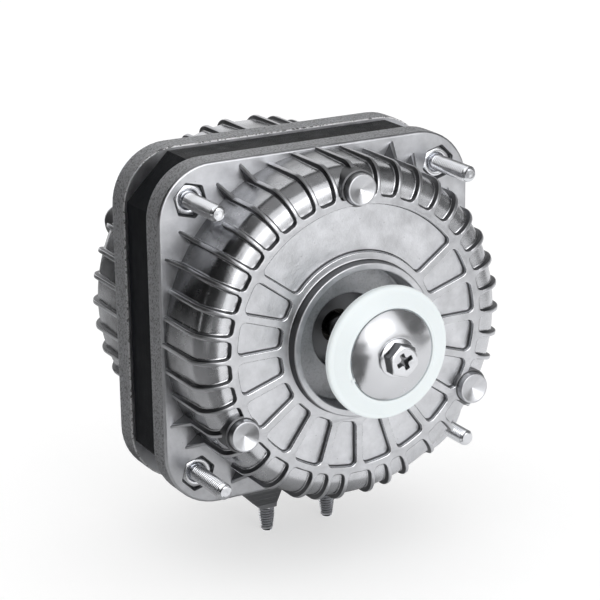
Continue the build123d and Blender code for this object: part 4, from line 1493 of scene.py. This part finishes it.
# Cards round the motor that only show in reflections: name, azimuths, elevations, tone
CARD_DISTANCE = 0.8
SECTOR_CARDS = (
    ("Dark card left", (108, 170), (-15, 50), 0.004),
    ("Dark card front left", (170, 231), (-15, 50), 0.008),
    ("Dark card low front left", (222, 262), (-16, 6), 0.05),
    ("Grey card front left", (228, 247), (4, 24), 0.12),
    ("Grey card front right", (308, 352), (-4, 44), 0.13),
    ("Grey card right", (352, 384), (12, 42), 0.1),
    ("Grey card low right", (352, 385), (-12, 12), 0.27),
    ("Pale card rear right", (25, 62), (-14, 30), 0.5),
    ("Pale card rear", (58, 108), (-5, 40), 0.85),
)
# Level cards above the motor: name, place, size, turn, tone
HIGH_CARDS = (
    ("Dark card above", (-0.05, 0.15, 0.7), (1.7, 1.26), 0, 0.05),
    ("Grey card overhead", (0.0, 0.0, 0.69), (0.74, 0.74), 0, 0.24),
)
# Cards on the floor: name, place, size, turn, tone; a later one lies on the ones before it
FLOOR_CARD_LIFT, FLOOR_CARD_STEP = 0.0003, 0.0001
FLOOR_CARDS = (
    ("Pale floor card", (0.0, 0.0), (2.4, 2.4), 0, 0.9),
    ("White floor card", polar(0.6, 280)[:2], (0.7, 0.3), 280, 1.0),
    ("Grey floor card front right", polar(0.5, 322)[:2], (0.5, 0.35), 322, 0.3),
    ("Dark floor card front left", polar(0.45, 243)[:2], (0.45, 0.26), 243, 0.08),
    ("Dark floor card left", (-0.52, 0.32), (1.0, 1.16), 0, 0.1),
    ("Grey floor card rear", (0.045, 0.48), (0.15, 0.84), 0, 0.32),
    ("Grey floor card left", (-0.2, 0.07), (0.31, 0.4), 0, 0.2),
    ("Grey floor card rear left", (-0.1, 0.2), (0.22, 0.2), 0, 0.4),
    ("Grey floor card near left", (-0.05, 0.0325), (0.14, 0.155), 0, 0.42),
    # A dark card under the motor stands in for the motor's shadow on the floor, seen in reflections
    ("Dark floor card below, painted shadow", (-0.02, 0.055), (0.07, 0.04), 0, 0.03),
)


def square_piece(name, corners):
    """Linked object with one face through four corners."""
    mesh = bpy.data.meshes.new(name)
    mesh.from_pydata(corners, [], [(0, 1, 2, 3)])
    piece = bpy.data.objects.new(name, mesh)
    bpy.context.scene.collection.objects.link(piece)
    return piece


def faced_to_origin(piece, place):
    piece.location = place
    piece.rotation_euler = (-Vector(place)).to_track_quat("-Z", "Y").to_euler()


class MOTOR_OT_studio(bpy.types.Operator):
    """Set the camera, lamps, floor and background"""

    bl_idname = "motor.studio"
    bl_label = "Studio"

    def execute(self, context):
        scene = context.scene
        scene.view_settings.view_transform = "Standard"
        self.camera(scene)
        self.world(scene)
        self.floor(scene)
        self.lamp("Key lamp", toward(*LAMP_PLACE), LAMP_SIZE, scene.motor_studio.key)
        for name, azimuths, elevations, tone in SECTOR_CARDS:
            self.sector_card(name, azimuths, elevations, tone)
        for name, place, size, turn, tone in HIGH_CARDS:
            self.card(name, place, size, tone, turn)
        for level, (name, place, size, turn, tone) in enumerate(FLOOR_CARDS):
            height = FLOOR + FLOOR_CARD_LIFT + FLOOR_CARD_STEP * level
            self.card(name, (*place, height), size, tone, turn)
        return {"FINISHED"}

    def camera(self, scene):
        data = bpy.data.cameras.new("Camera")
        data.lens = CAMERA_LENS
        data.sensor_width = 36.0
        data.clip_start = 0.01
        camera = bpy.data.objects.new("Camera", data)
        scene.collection.objects.link(camera)
        camera.matrix_world = (
            Matrix.Translation(CAMERA_PLACE)
            @ Matrix.Rotation(-CAMERA_YAW, 4, "Z")
            @ Matrix.Rotation(radians(90) - CAMERA_PITCH, 4, "X")
            @ Matrix.Rotation(CAMERA_ROLL, 4, "Z")
        )
        scene.camera = camera

    def world(self, scene):
        world = bpy.data.worlds.new("White surround")
        world.use_nodes = True
        tree = world.node_tree
        back = tree.nodes["Background"]
        back.inputs["Color"].default_value = (1, 1, 1, 1)
        path = tree.nodes.new("ShaderNodeLightPath")
        seen = math_node(tree, "MAXIMUM", path.outputs["Is Camera Ray"], path.outputs["Is Glossy Ray"])
        seen = math_node(tree, "MAXIMUM", seen, path.outputs["Is Transmission Ray"])
        tree.links.new(remap(tree, seen, 0, 1, 0.95, 1.0), back.inputs["Strength"])
        scene.world = world

    def floor(self, scene):
        h = FLOOR_HALF
        piece = square_piece("Floor", [(-h, -h, FLOOR), (h, -h, FLOOR), (h, h, FLOOR), (-h, h, FLOOR)])
        tree, shader = new_material("Pale floor")
        colour = tuple(scene.motor_studio.floor)
        cloud = noise(tree, object_point(tree), 30.0, 3.0)
        tree.links.new(mix_colour(tree, cloud, colour, scaled(colour, 1.02)), shader.inputs["Base Color"])
        shader.inputs["Roughness"].default_value = 0.9
        shader.inputs["Emission Color"].default_value = (1, 1, 1, 1)
        shader.inputs["Emission Strength"].default_value = FLOOR_GLOW
        piece.data.materials.append(bpy.data.materials["Pale floor"])
        piece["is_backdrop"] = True

    def lamp(self, name, place, size, power):
        data = bpy.data.lights.new(name, "AREA")
        data.shape = "RECTANGLE"
        data.size, data.size_y = size
        data.energy = power
        piece = bpy.data.objects.new(name, data)
        faced_to_origin(piece, place)
        bpy.context.scene.collection.objects.link(piece)

    def sector_card(self, name, azimuths, elevations, tone):
        """Card that covers a range of azimuths and elevations, seen from the motor."""
        middle = sum(elevations) / 2
        half_angles = [radians(high - low) / 2 for low, high in (azimuths, elevations)]
        width = 2 * CARD_DISTANCE * cos(radians(middle)) * tan(half_angles[0])
        height = 2 * CARD_DISTANCE * tan(half_angles[1])
        self.card(name, toward(sum(azimuths) / 2, middle, CARD_DISTANCE), (width, height), tone)

    def card(self, name, place, size, tone, turn=None):
        """Card of one tone that only shows in reflections. It faces the motor, or lies level by a turn."""
        w, h = size[0] / 2, size[1] / 2
        piece = square_piece(name, [(-w, -h, 0), (w, -h, 0), (w, h, 0), (-w, h, 0)])
        if turn is None:
            faced_to_origin(piece, place)
        else:
            piece.location = place
            piece.rotation_euler.z = radians(turn)
        shader = new_material(name)[1]
        shader.inputs["Base Color"].default_value = (tone, tone, tone, 1)
        shader.inputs["Roughness"].default_value = 1.0
        piece.data.materials.append(bpy.data.materials[name])
        piece.visible_camera = False
        piece.visible_diffuse = False
        piece.visible_shadow = False
        piece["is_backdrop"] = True


class MOTOR_PT_panel(bpy.types.Panel):
    """Lists the motor's sizes, colours and steps"""

    bl_idname = "MOTOR_PT_panel"
    bl_label = "Square fan motor"
    bl_space_type = "VIEW_3D"
    bl_region_type = "UI"
    bl_category = "Fan motor"

    def draw(self, context):
        scene = context.scene
        for name in GROUPS:
            group = getattr(scene, name)
            box = self.layout.box()
            for label in group.__annotations__:
                box.prop(group, label)
        for operator in OPERATORS:
            self.layout.operator(operator.bl_idname)


GROUPS = {
    "motor_casting": CastingSizes,
    "motor_fasteners": FastenerSizes,
    "motor_hub": HubSizes,
    "motor_finishes": Finishes,
    "motor_studio": Studio,
}
OPERATORS = (
    MOTOR_OT_castings, MOTOR_OT_stack, MOTOR_OT_fasteners, MOTOR_OT_fan_hub, MOTOR_OT_node_finishes,
    MOTOR_OT_studio,
)


def register():
    for name, group in GROUPS.items():
        bpy.utils.register_class(group)
        setattr(bpy.types.Scene, name, PointerProperty(type=group))
    for operator in OPERATORS:
        bpy.utils.register_class(operator)
    bpy.utils.register_class(MOTOR_PT_panel)


def unregister():
    bpy.utils.unregister_class(MOTOR_PT_panel)
    for operator in reversed(OPERATORS):
        bpy.utils.unregister_class(operator)
    for name, group in GROUPS.items():
        delattr(bpy.types.Scene, name)
        bpy.utils.unregister_class(group)


def main():
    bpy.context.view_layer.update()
    register()
    bpy.ops.motor.castings()
    bpy.ops.motor.stack()
    bpy.ops.motor.fasteners()
    bpy.ops.motor.fan_hub()
    bpy.ops.motor.node_finishes()
    bpy.ops.motor.studio()


if __name__ == "__main__":
    main()
